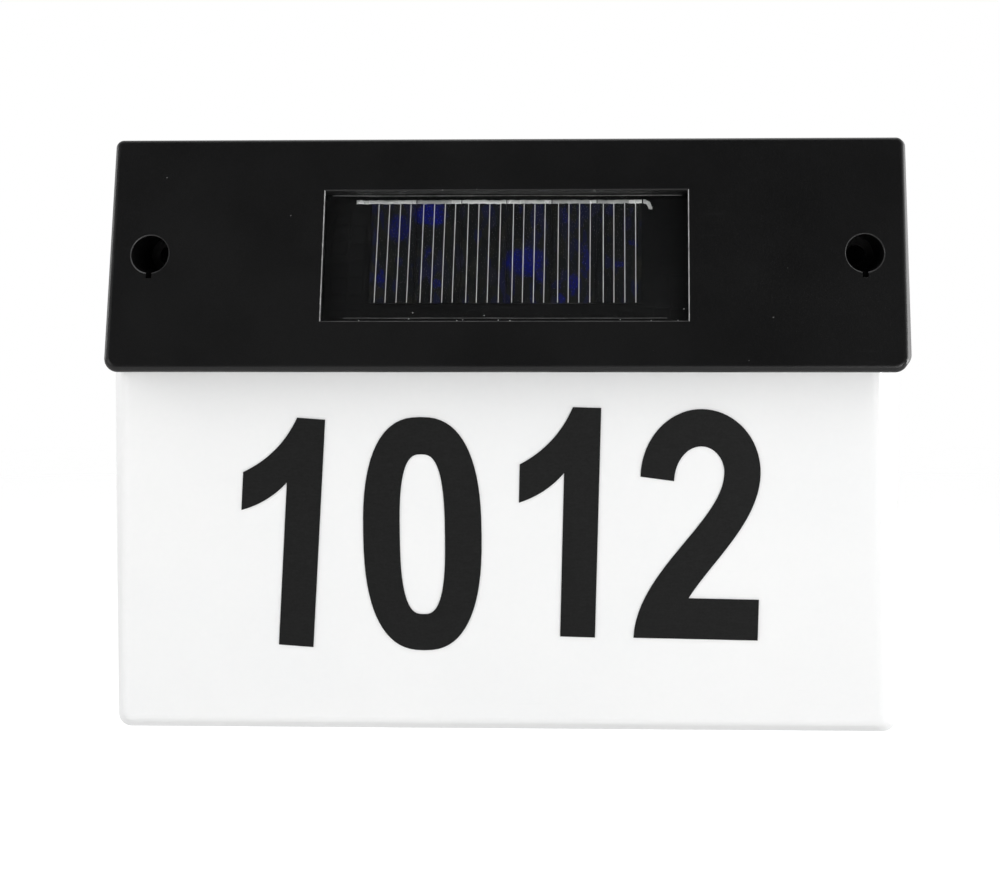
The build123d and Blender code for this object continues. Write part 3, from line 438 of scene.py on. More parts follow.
@dataclass(frozen=True)
class Moulded:
    """Moulded plastic or rubber with a fine grain and light handling marks."""

    name: str
    colour: Colour
    roughness: float = 0.45
    specular: float = 0.5
    grain_density: float = 4200.0
    grain_depth: float = 0.03 * MM
    scratches: float = 0.35
    dust: float = 0.0
    highlight_colour: Colour = (0.5, 0.5, 0.5)

    def material(self, edge_highlights: PaintedEdgeHighlights | None = None) -> Material:
        """Builds the material.

        Args:
            edge_highlights: Painted highlights along the piece's rims, where it has such.

        Returns:
            The material.
        """
        paint = Paint(self.name, self.roughness)
        wires = paint.wires
        marks = paint.group(GROUPS.marks(), Scratches=self.scratches)
        grain = paint.group(GROUPS.grain(), Density=self.grain_density).outputs["Height"]
        mottled = wires.remap(grain, 0.2, 1.1)
        tone = wires.mix(mottled, shaded(self.colour, 0.5), shaded(self.colour, 1.5))
        tone = wires.mix(marks.outputs["Scratch"], tone, shaded(self.colour, 2.4))
        if edge_highlights:
            # painted highlight: the mask lightens the colour round the window and the screw holes
            tone = wires.mix(edge_highlights.mask(wires, paint.place), tone, rgba(self.highlight_colour))
        if self.dust:
            tone = wires.mix(wires.times(marks.outputs["Dust"], self.dust), tone, rgba((0.5, 0.5, 0.5)))
        paint.set("Base Color", tone)
        paint.rub(marks, self.roughness + 0.04, self.roughness - 0.05)
        paint.set("Specular IOR Level", self.specular)
        paint.relief(grain, self.grain_depth, 0.5)
        return paint.material


@dataclass(frozen=True)
class Diffuser:
    """Translucent white plastic, smooth outside, faintly uneven in depth."""

    name: str
    colour: Colour
    shade: Colour
    roughness: float = 0.32
    depth: float = 1.6 * MM
    scatter: float = 0.25

    def material(self) -> Material:
        """Builds the material."""
        paint = Paint(self.name, self.roughness)
        wires = paint.wires
        marks = paint.group(GROUPS.marks(), Scratches=0.12, Dust_Size=260.0)
        uneven = wires.remap(wires.noise(paint.place, 24.0, 5.0), 0.35, 0.7)
        speckle = wires.remap(wires.noise(paint.place, 900.0, 2.0), 0.3, 0.75)
        cloud = wires.plus(wires.times(uneven, 0.7), wires.times(speckle, 0.3))
        tone = wires.mix(cloud, rgba(self.shade), rgba(self.colour))
        paint.set("Base Color", wires.mix(marks.outputs["Scratch"], tone, shaded(self.shade, 0.93)))
        paint.rub(marks, self.roughness + 0.06, self.roughness - 0.04)
        paint.set("Subsurface Weight", self.scatter)
        paint.set("Subsurface Radius", (self.depth, self.depth, self.depth))
        paint.set("Subsurface Scale", 1.0)
        ripple = wires.noise(paint.place, 160.0, 2.0)
        paint.relief(ripple, 0.02 * MM, 0.4)
        return paint.material


@dataclass(frozen=True)
class Film:
    """Black vinyl film: satin, with the orange peel and dust of outdoor lettering."""

    name: str
    colour: Colour
    roughness: float = 0.42
    specular: float = 0.22

    def material(self) -> Material:
        """Builds the material."""
        paint = Paint(self.name, self.roughness)
        wires = paint.wires
        marks = paint.group(GROUPS.marks(), Scratches=0.5)
        weave = paint.group(GROUPS.grain(), Density=1900.0).outputs["Height"]
        paint.set("Specular IOR Level", self.specular)
        streaks = wires.noise(wires.stretched(paint.place, (500.0, 500.0, 2600.0)), 1.0, 2.0)
        woven = wires.plus(wires.times(weave, 0.5), wires.times(streaks, 0.6))
        tone = wires.mix(wires.remap(woven, 0.35, 0.9), shaded(self.colour, 0.45), shaded(self.colour, 1.9))
        paint.set("Base Color", wires.mix(marks.outputs["Scratch"], tone, shaded(self.colour, 2.2)))
        paint.rub(marks, self.roughness + 0.08, self.roughness - 0.05)
        paint.relief(weave, 0.02 * MM, 0.35)
        return paint.material


@dataclass(frozen=True)
class ClearPane:
    """Clear window: polished, lets the lamps through to what lies behind it."""

    name: str
    ior: float = 1.49
    roughness: float = 0.02

    def material(self) -> Material:
        """Builds the material."""
        paint = Paint(self.name, self.roughness)
        wires = paint.wires
        marks = paint.group(GROUPS.marks(), Scratches=0.3, Dust_Size=1500.0)
        paint.set("Base Color", rgba((0.97, 0.98, 0.98)))
        paint.set("Transmission Weight", 1.0)
        paint.set("IOR", self.ior)
        smear = wires.plus(marks.outputs["Rubbed"], marks.outputs["Scratch"])
        paint.set("Roughness", wires.remap(smear, 0.0, 2.0, self.roughness, self.roughness + 0.06))
        clear = wires.add("ShaderNodeBsdfTransparent", {"Color": rgba((0.96, 0.97, 0.97))})
        shadow = wires.add("ShaderNodeLightPath").outputs["Is Shadow Ray"]
        through = wires.add(
            "ShaderNodeMixShader", {0: shadow, 1: paint.shader.outputs[0], 2: clear.outputs[0]}
        )
        output = paint.material.node_tree.nodes["Material Output"]
        wires.feed(output.inputs["Surface"], through.outputs[0])
        return paint.material


@dataclass(frozen=True)
class CrystalPatch:
    """A patch of blue crystals on the cells: its centre and size in the plane of the panel."""

    across: float
    up: float
    width: float
    height: float
    strength: float = 1.0


@dataclass(frozen=True)
class Silicon:
    """Polycrystalline cell: near-black crystals with deep blue patches."""

    name: str
    dark: Colour
    olive: Colour
    blue: Colour
    patches: tuple[CrystalPatch, ...]
    crystal_density: float = 700.0
    crystal_squeeze: float = 0.45
    speck_density: float = 3400.0
    roughness: float = 0.28

    def patch_mask(self, wires: Wiring, flat: Socket) -> Socket:
        """Where the blue patches lie.

        Args:
            wires: The material's wiring.
            flat: The place in the plane of the panel, in metres.

        Returns:
            A mask from 0 to 1 with ragged edges.
        """
        ragged = wires.add("ShaderNodeTexNoise", {"Vector": flat, "Scale": 520.0, "Detail": 3.0})
        shift = wires.vector_math("SUBTRACT", ragged.outputs["Color"], (0.5, 0.5, 0.5)).outputs[0]
        place = wires.vector_math("ADD", flat, wires.stretched(shift, (3.2 * MM, 4.2 * MM, 0.0))).outputs[0]
        mask: object = 0.0
        for patch in self.patches:
            centre = (patch.across * MM, patch.up * MM, 0.0)
            half = (patch.width * MM / 2, patch.height * MM / 2, 1.0)
            offset = wires.vector_math("SUBTRACT", place, centre).outputs[0]
            reach = wires.vector_math("LENGTH", wires.vector_math("DIVIDE", offset, half).outputs[0])
            inside = wires.remap(reach.outputs["Value"], 1.25, 0.75, 0.0, patch.strength)
            mask = wires.math("MAXIMUM", mask, inside)
        return mask

    def material(self, panel: "PanelPlane") -> Material:
        """Builds the material for cells that lie in one plane.

        Args:
            panel: The plane of the panel.

        Returns:
            The material.
        """
        paint = Paint(self.name, self.roughness)
        wires = paint.wires
        across, up, _ = panel.coordinates(wires, paint.place)
        flat = wires.combined(across, up)
        tall = wires.stretched(flat, (1.0, self.crystal_squeeze, 1.0))
        crystals = wires.add("ShaderNodeTexVoronoi", {"Vector": tall, "Scale": self.crystal_density})
        parts = wires.add("ShaderNodeSeparateColor", {0: crystals.outputs["Color"]})
        base = wires.mix(wires.remap(parts.outputs[0], 0.45, 0.9), rgba(self.dark), rgba(self.olive))
        hint = wires.remap(parts.outputs[1], 0.72, 0.95, 0.0, 0.14)
        base = wires.mix(hint, base, rgba(self.blue))
        specks = wires.add("ShaderNodeTexVoronoi", {"Vector": flat, "Scale": self.speck_density})
        speck = wires.add("ShaderNodeSeparateColor", {0: specks.outputs["Color"]}).outputs[2]
        bright = wires.remap(speck, 0.25, 0.8, 0.25, 1.0)
        glow = wires.times(self.patch_mask(wires, flat), bright)
        paint.set("Base Color", wires.mix(glow, base, rgba(self.blue)))
        paint.set("Roughness", wires.remap(parts.outputs[1], 0.0, 1.0, self.roughness, self.roughness + 0.2))
        paint.set("Specular IOR Level", 0.25)
        return paint.material


@dataclass(frozen=True)
class Tinned:
    """Tinned copper or printed silver, whose colour and shine follow a tone painted on the mesh; on the
    ribbons this tone paints their highlights.
    """

    name: str
    dull: Colour
    bright: Colour
    metallic: float = 0.35
    wrinkles: tuple[float, float, float] = (900.0, 1500.0, 1500.0)
    wrinkle_depth: float = 0.12 * MM
    attribute: str = "tone"

    def material(self) -> Material:
        """Builds the material."""
        paint = Paint(self.name, 0.4, self.metallic)
        wires = paint.wires
        tone = wires.add("ShaderNodeAttribute", attribute_name=self.attribute).outputs["Fac"]
        wrinkle = wires.noise(wires.stretched(paint.place, self.wrinkles), 1.0, 3.0)
        patchy = wires.remap(wires.noise(paint.place, 420.0, 2.0), 0.35, 0.65, -0.2, 0.2)
        shine = wires.math("ADD", tone, patchy, clamp=True)
        # painted highlight: a high tone lightens the colour, and the roughness falls with it
        paint.set("Base Color", wires.mix(shine, rgba(self.dull), rgba(self.bright)))
        paint.set("Roughness", wires.remap(shine, 0.0, 1.0, 0.5, 0.24))
        paint.relief(wrinkle, self.wrinkle_depth, 0.8)
        return paint.material


@dataclass(frozen=True)
class Laminate:
    """Circuit board: solder mask over faint copper tracks."""

    name: str
    colour: Colour
    track: Colour
    track_density: float = 260.0
    roughness: float = 0.32

    def material(self) -> Material:
        """Builds the material."""
        paint = Paint(self.name, self.roughness)
        wires = paint.wires
        marks = paint.group(GROUPS.marks(), Scratches=0.3)
        inputs = {"Vector": paint.place, "Scale": self.track_density, "Randomness": 0.35}
        second, first = [
            wires.add("ShaderNodeTexVoronoi", inputs, distance="CHEBYCHEV", feature=feature)
            for feature in ("F2", "F1")
        ]
        gap = wires.minus(second.outputs["Distance"], first.outputs["Distance"])
        tracks = wires.remap(gap, 0.1, 0.16)
        paint.set("Base Color", wires.mix(tracks, rgba(self.colour), rgba(self.track)))
        paint.rub(marks, self.roughness + 0.08, self.roughness)
        paint.relief(tracks, 0.03 * MM, 0.6)
        return paint.material


@dataclass(frozen=True)
class Metal:
    """Bare or plated metal with fine brushing and a few dull spots."""

    name: str
    colour: Colour
    roughness: float = 0.3
    brushing: tuple[float, float, float] = (300.0, 300.0, 9000.0)

    def material(self) -> Material:
        """Builds the material."""
        paint = Paint(self.name, self.roughness, 1.0)
        wires = paint.wires
        marks = paint.group(GROUPS.marks(), Scratches=0.6)
        brushed = wires.noise(wires.stretched(paint.place, self.brushing), 1.0, 2.0)
        tone = wires.mix(wires.remap(brushed, 0.3, 0.7), shaded(self.colour, 0.85), shaded(self.colour, 1.05))
        paint.set("Base Color", wires.mix(marks.outputs["Rubbed"], tone, shaded(self.colour, 0.8)))
        paint.rub(marks, self.roughness, self.roughness + 0.15)
        paint.relief(brushed, 0.01 * MM, 0.5)
        return paint.material


@dataclass(frozen=True)
class Sleeve:
    """Printed plastic sleeve of the battery: a plain colour with a band at the plus end."""

    name: str
    colour: Colour
    band: Colour
    band_from: float
    steel_from: float
    steel_until: float

    def material(self) -> Material:
        """Builds the material."""
        paint = Paint(self.name, 0.28)
        wires = paint.wires
        along = wires.add("ShaderNodeSeparateXYZ", {0: paint.place}).outputs[0]
        marks = paint.group(GROUPS.marks(), Scratches=0.4)
        tone = wires.mix(marks.outputs["Rubbed"], rgba(self.colour), shaded(self.colour, 0.8))
        tone = wires.mix(wires.math("GREATER_THAN", along, self.band_from), tone, rgba(self.band))
        left_end = wires.math("LESS_THAN", along, self.steel_from)
        right_end = wires.math("GREATER_THAN", along, self.steel_until)
        steel = wires.math("MAXIMUM", left_end, right_end)
        paint.set("Base Color", wires.mix(steel, tone, rgba((0.6, 0.6, 0.58))))
        paint.set("Metallic", steel)
        ripple = wires.noise(paint.place, 240.0, 2.0)
        paint.relief(ripple, 0.05 * MM, 0.4)
        return paint.material


@dataclass(frozen=True)
class Epoxy:
    """Clear epoxy of a light-emitting diode, clouded by its phosphor towards the board."""

    name: str
    clear: Colour
    cloud: Colour
    cloud_above: float
    clear_below: float

    def material(self) -> Material:
        """Builds the material."""
        paint = Paint(self.name, 0.12)
        wires = paint.wires
        height = wires.add("ShaderNodeSeparateXYZ", {0: paint.place}).outputs[2]
        swirl = wires.times(wires.noise(paint.place, 700.0, 2.0), 0.8 * MM)
        level = wires.plus(height, swirl)
        clouded = wires.remap(level, self.clear_below, self.cloud_above)
        paint.set("Base Color", wires.mix(clouded, rgba(self.clear), rgba(self.cloud)))
        paint.set("Transmission Weight", 0.6)
        paint.set("IOR", 1.53)
        return paint.material


@dataclass(frozen=True)
class Winding:
    """Enamelled copper wire."""

    name: str
    colour: Colour

    def material(self) -> Material:
        """Builds the material."""
        paint = Paint(self.name, 0.22, 1.0)
        wires = paint.wires
        uneven = wires.noise(paint.place, 1500.0, 2.0)
        paint.set("Base Color", wires.mix(uneven, shaded(self.colour, 0.7), shaded(self.colour, 1.1)))
        paint.set("Coat Weight", wires.remap(uneven, 0.2, 0.8, 0.3, 0.7))
        return paint.material


# ---------------------------------------------------------------- meshes and pieces


def dress(node: str, material: Material) -> None:
    """Gives a node of the frame a material.

    Args:
        node: The node's name.
        material: Its new material, in every slot.
    """
    cover(frame["nodes"][node].data, material)


def linked(name: str, data: bpy.types.ID) -> Object:
    """A new object with the data, linked to the scene."""
    item = bpy.data.objects.new(name, data)
    bpy.context.scene.collection.objects.link(item)
    return item


def baked(carrier: Object) -> Mesh:
    """The carrier's finished shape as a plain mesh, with the carrier removed."""
    graph = bpy.context.evaluated_depsgraph_get()
    graph.update()
    mesh = bpy.data.meshes.new_from_object(carrier.evaluated_get(graph))
    carrier.modifiers.clear()
    bpy.data.objects.remove(carrier)
    return mesh


def built(name: str, build: bmesh.types.BMesh, outwards: bool = False) -> Mesh:
    """Ends the building of a mesh.

    Args:
        name: The mesh's name.
        build: What was built, which is freed.
        outwards: Whether its normals are turned outwards first.

    Returns:
        The mesh.
    """
    if outwards:
        bmesh.ops.recalc_face_normals(build, faces=build.faces)
    mesh = bpy.data.meshes.new(name)
    build.to_mesh(mesh)
    build.free()
    return mesh


def disc(name: str, sides: int, radius: float) -> Mesh:
    """A flat disc that faces +Z."""
    build = bmesh.new()
    bmesh.ops.create_circle(build, cap_ends=True, segments=sides, radius=radius)
    return built(name, build)


def cover(mesh: Mesh, material: Material) -> None:
    """Leaves a mesh with this material only."""
    mesh.materials.clear()
    mesh.materials.append(material)


def add_piece(name: str, mesh: Mesh, body: Body, replaces: Iterable[str] = ()) -> Object:
    """Makes a piece of a mesh that already stands in its place.

    Args:
        name: The piece's name.
        mesh: Its mesh, in the frame of the part.
        body: The body that it rides on.
        replaces: Nodes of the frame that it stands for.

    Returns:
        The piece.
    """
    piece = linked(name, mesh)
    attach(piece, body.value)
    for node in replaces:
        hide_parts(node)
    LOG.info("%s: %d faces on %s", name, len(mesh.polygons), body.value)
    return piece


@dataclass(frozen=True)
class PanelPlane:
    """A tilted flat face of the frame: its origin and its directions."""

    origin: Vector
    across: Vector
    up: Vector
    normal: Vector

    @classmethod
    def of_node(cls, node: str) -> "PanelPlane":
        """The largest flat front face of a node.

        Args:
            node: The node's name.

        Returns:
            Its plane, whose origin lies where the face crosses X = 0 and Z = 0.
        """
        mesh = frame["nodes"][node].data
        facing: dict[tuple, list] = {}
        for polygon in mesh.polygons:
            if polygon.normal.y < -0.5:
                facing.setdefault(tuple(round(c, 2) for c in polygon.normal), []).append(polygon)
        front = max(facing.values(), key=lambda polygons: sum(p.area for p in polygons))
        normal = sum((p.normal * p.area for p in front), Vector()).normalized()
        reach = max(p.center.dot(normal) for p in front)
        origin = Vector((0.0, reach / normal.y, 0.0))
        across = Vector((1.0, 0.0, 0.0))
        return cls(origin, across, normal.cross(across), normal)

    def coordinates(self, wires: Wiring, place: Socket) -> tuple[Socket, Socket, Socket]:
        """A place in the frame, measured across, up and out of the face.

        Args:
            wires: The wiring of the material that asks.
            place: The place in the frame.

        Returns:
            The three measures.
        """
        offset = wires.vector_math("SUBTRACT", place, tuple(self.origin)).outputs[0]
        return tuple(
            wires.vector_math("DOT_PRODUCT", offset, tuple(axis)).outputs["Value"]
            for axis in (self.across, self.up, self.normal)
        )

    def matrix(self) -> Matrix:
        """Takes a place across, up and out of the face to the frame of the part."""
        turn = Matrix((self.across, self.up, self.normal)).transposed().to_4x4()
        return Matrix.Translation(self.origin) @ turn

    def extent(self, node: str) -> tuple[Vector, Vector]:
        """Lowest and highest corner of a node, measured across, up and out of the face."""
        inverse = self.matrix().inverted()
        points = [inverse @ v.co for v in frame["nodes"][node].data.vertices]
        low = Vector(min(p[axis] for p in points) for axis in range(3))
        high = Vector(max(p[axis] for p in points) for axis in range(3))
        return low, high


def window_rim() -> tuple[PanelPlane, Vector, Vector]:
    """The face of the front housing and the window's opening in it.

    Returns:
        The plane of the face, and the lowest and highest corner of the opening in that plane.
    """
    tolerance, reach = 0.02 * MM, Vector((46.0 * MM, 23.0 * MM))
    panel = PanelPlane.of_node("front_housing")
    inverse = panel.matrix().inverted()
    points = [inverse @ v.co for v in frame["nodes"]["front_housing"].data.vertices]
    rim = [p for p in points if abs(p.z) < tolerance and abs(p.x) < reach.x and abs(p.y) < reach.y]
    low = Vector((min(p.x for p in rim), min(p.y for p in rim), 0.0))
    high = Vector((max(p.x for p in rim), max(p.y for p in rim), 0.0))
    return panel, low, high


def hole_spacing() -> float:
    """Distance between the two screw holes, from the record's mount."""
    mounts = {mount["name"]: mount for mount in frame["record"]["mounts"]}
    return mounts["wall_screws"]["dims"]["spacing_x_mm"] * MM


class GeometryRecipe:
    """A Geometry Nodes tree with named inputs, run once and turned into a plain mesh."""

    KINDS = {float: "NodeSocketFloat", int: "NodeSocketInt", bpy.types.Object: "NodeSocketObject"}

    def __init__(self, name: str, material: Material) -> None:
        """Starts a tree that makes geometry from nothing but its inputs.

        Args:
            name: The tree's name.
            material: What Set Material gives the result.
        """
        self.tree = bpy.data.node_groups.new(name, "GeometryNodeTree")
        self.tree.interface.new_socket(name="Geometry", in_out="INPUT", socket_type="NodeSocketGeometry")
        self.tree.interface.new_socket(name="Geometry", in_out="OUTPUT", socket_type="NodeSocketGeometry")
        self.wires = Wiring(self.tree)
        self.source = self.wires.add("NodeGroupInput")
        self.target = self.wires.add("NodeGroupOutput")
        self.material = material
        self.values: dict[str, object] = {}

    def input(self, name: str, value: object) -> Socket:
        """Adds a named input.

        Args:
            name: The input's name.
            value: The value that this run gives it.

        Returns:
            Its socket inside the tree.
        """
        kind = next(label for base, label in self.KINDS.items() if isinstance(value, base))
        socket = self.tree.interface.new_socket(name=name, in_out="INPUT", socket_type=kind)
        self.values[socket.identifier] = value
        return self.source.outputs[name]

    def close(self, geometry: Socket) -> None:
        """Ends the tree in Realize Instances and Set Material."""
        real = self.wires.add("GeometryNodeRealizeInstances", {0: geometry})
        inputs = {"Geometry": real.outputs[0], "Material": self.material}
        painted = self.wires.add("GeometryNodeSetMaterial", inputs)
        self.wires.feed(self.target.inputs[0], painted.outputs[0])

    def mesh(self, name: str, seed_mesh: Mesh | None = None) -> Mesh:
        """Runs the tree.

        Args:
            name: The name of the new mesh.
            seed_mesh: What the tree starts from, where it needs points.

        Returns:
            The plain mesh, with no modifier left.
        """
        carrier = linked(name + "_carrier", seed_mesh or bpy.data.meshes.new(name + "_seed"))
        modifier = carrier.modifiers.new("recipe", "NODES")
        modifier.node_group = self.tree
        for identifier, value in self.values.items():
            modifier[identifier] = value
        result = baked(carrier)
        result.name = name
        return result


def mesh_of(name: str, vertices: list, faces: list, material: Material) -> Mesh:
    """A smooth mesh from points and faces, with its normals turned outwards.

    Args:
        name: The mesh's name.
        vertices: Its points.
        faces: Its faces, as lists of point numbers.
        material: Its only material.

    Returns:
        The mesh.
    """
    mesh = bpy.data.meshes.new(name)
    mesh.from_pydata(vertices, [], faces)
    build = bmesh.new()
    build.from_mesh(mesh)
    bmesh.ops.recalc_face_normals(build, faces=build.faces)
    build.to_mesh(mesh)
    build.free()
    mesh.materials.append(material)
    mesh.polygons.foreach_set("use_smooth", [True] * len(mesh.polygons))
    return mesh


def tube_faces(rings: int, sides: int) -> list[tuple[int, ...]]:
    """Faces of a closed tube whose points go ring by ring."""
    faces = []
    for i in range(rings - 1):
        for k in range(sides):
            a, b = i * sides + k, i * sides + (k + 1) % sides
            faces.append((a, b, b + sides, a + sides))
    faces.append(tuple(range(sides)))
    faces.append(tuple(range((rings - 1) * sides, rings * sides)))
    return faces


# ---------------------------------------------------------------- housing


@dataclass
class Housing:
    """The black mouldings: front housing, back cover, battery door, slider and seals."""

    plastic: Moulded = Moulded(
        "black_moulding", (0.0054, 0.0054, 0.0056), roughness=0.34, specular=0.45, dust=0.2
    )
    back_plastic: Moulded = Moulded("black_cover", (0.0042, 0.0042, 0.0044), roughness=0.44)
    door_plastic: Moulded = Moulded(
        "black_door", (0.0042, 0.0042, 0.0044), roughness=0.42, grain_density=3000.0
    )
    word_ink: Moulded = Moulded("word_ink", (0.30, 0.30, 0.30), roughness=0.5)
    rubber: Moulded = Moulded("seal_rubber", (0.012, 0.012, 0.012), roughness=0.7, grain_density=2500.0)
    knob_plastic: Moulded = Moulded("slider_plastic", (0.02, 0.02, 0.02), roughness=0.4, grain_density=6000.0)
    rim_chamfer: float = 0.25 * MM
    access_r: float = 4.38 * MM
    word_height: float = 2.6 * MM
    word_proud: float = 0.02 * MM
    word_sink: float = 0.1 * MM
    word_gap: float = 1.6 * MM
    words: dict[str, int] = field(default_factory=lambda: {"OFF": -1, "ON": 1})

    def painted_edge_highlights(self) -> PaintedEdgeHighlights:
        """Finds the window's rim and the screw holes on the face of the front housing, for its painted edge
        highlights.
        """
        panel, low, high = window_rim()
        inset = Vector((self.rim_chamfer / 2, self.rim_chamfer / 2, 0.0))
        return PaintedEdgeHighlights(panel, low + inset, high - inset, hole_spacing() / 2, self.access_r)

    def word(self, text: str, side: int, material: Material) -> Object:
        """A word printed on the back cover beside the switch, read from behind.

        Args:
            text: The word.
            side: -1 for the slider's off end, 1 for its on end.
            material: The ink's material.

        Returns:
            The piece.
        """
        low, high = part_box("switch_body")
        centre = (low + high) / 2
        curve = bpy.data.curves.new("word_" + text.lower(), "FONT")
        curve.body = text
        curve.size = self.word_height
        curve.extrude = (self.word_proud + self.word_sink) / 2
        curve.align_x = "CENTER"
        curve.align_y = "CENTER"
        mesh = baked(linked("word_carrier", curve))
        upright = Matrix.Rotation(math.pi, 4, "Z") @ Matrix.Rotation(math.pi / 2, 4, "X")
        reach = (high.x - low.x) / 2 + self.word_gap + self.word_height
        spot = Vector((centre.x + side * reach, (self.word_proud - self.word_sink) / 2, centre.z))
        mesh.transform(Matrix.Translation(spot) @ upright)
        cover(mesh, material)
        return add_piece("switch_word_" + text.lower(), mesh, Body.SIGN)

    def build(self) -> None:
        """Dresses the mouldings and adds the words beside the switch."""
        dress("front_housing", self.plastic.material(self.painted_edge_highlights()))
        dress("back_cover", self.back_plastic.material())
        dress("battery_door", self.door_plastic.material())
        dress("switch_slider", self.knob_plastic.material())
        ink = self.word_ink.material()
        for text, side in self.words.items():
            self.word(text, side, ink)
        rubber = self.rubber.material()
        for node in ("cover_gasket", "window_gasket"):
            dress(node, rubber)


# ---------------------------------------------------------------- solar panel


@dataclass(frozen=True)
class RibbonStretch:
    """Part of a ribbon's length with one painted highlight: from a share of its length up to the next."""

    start: float
    tone: RibbonHighlight


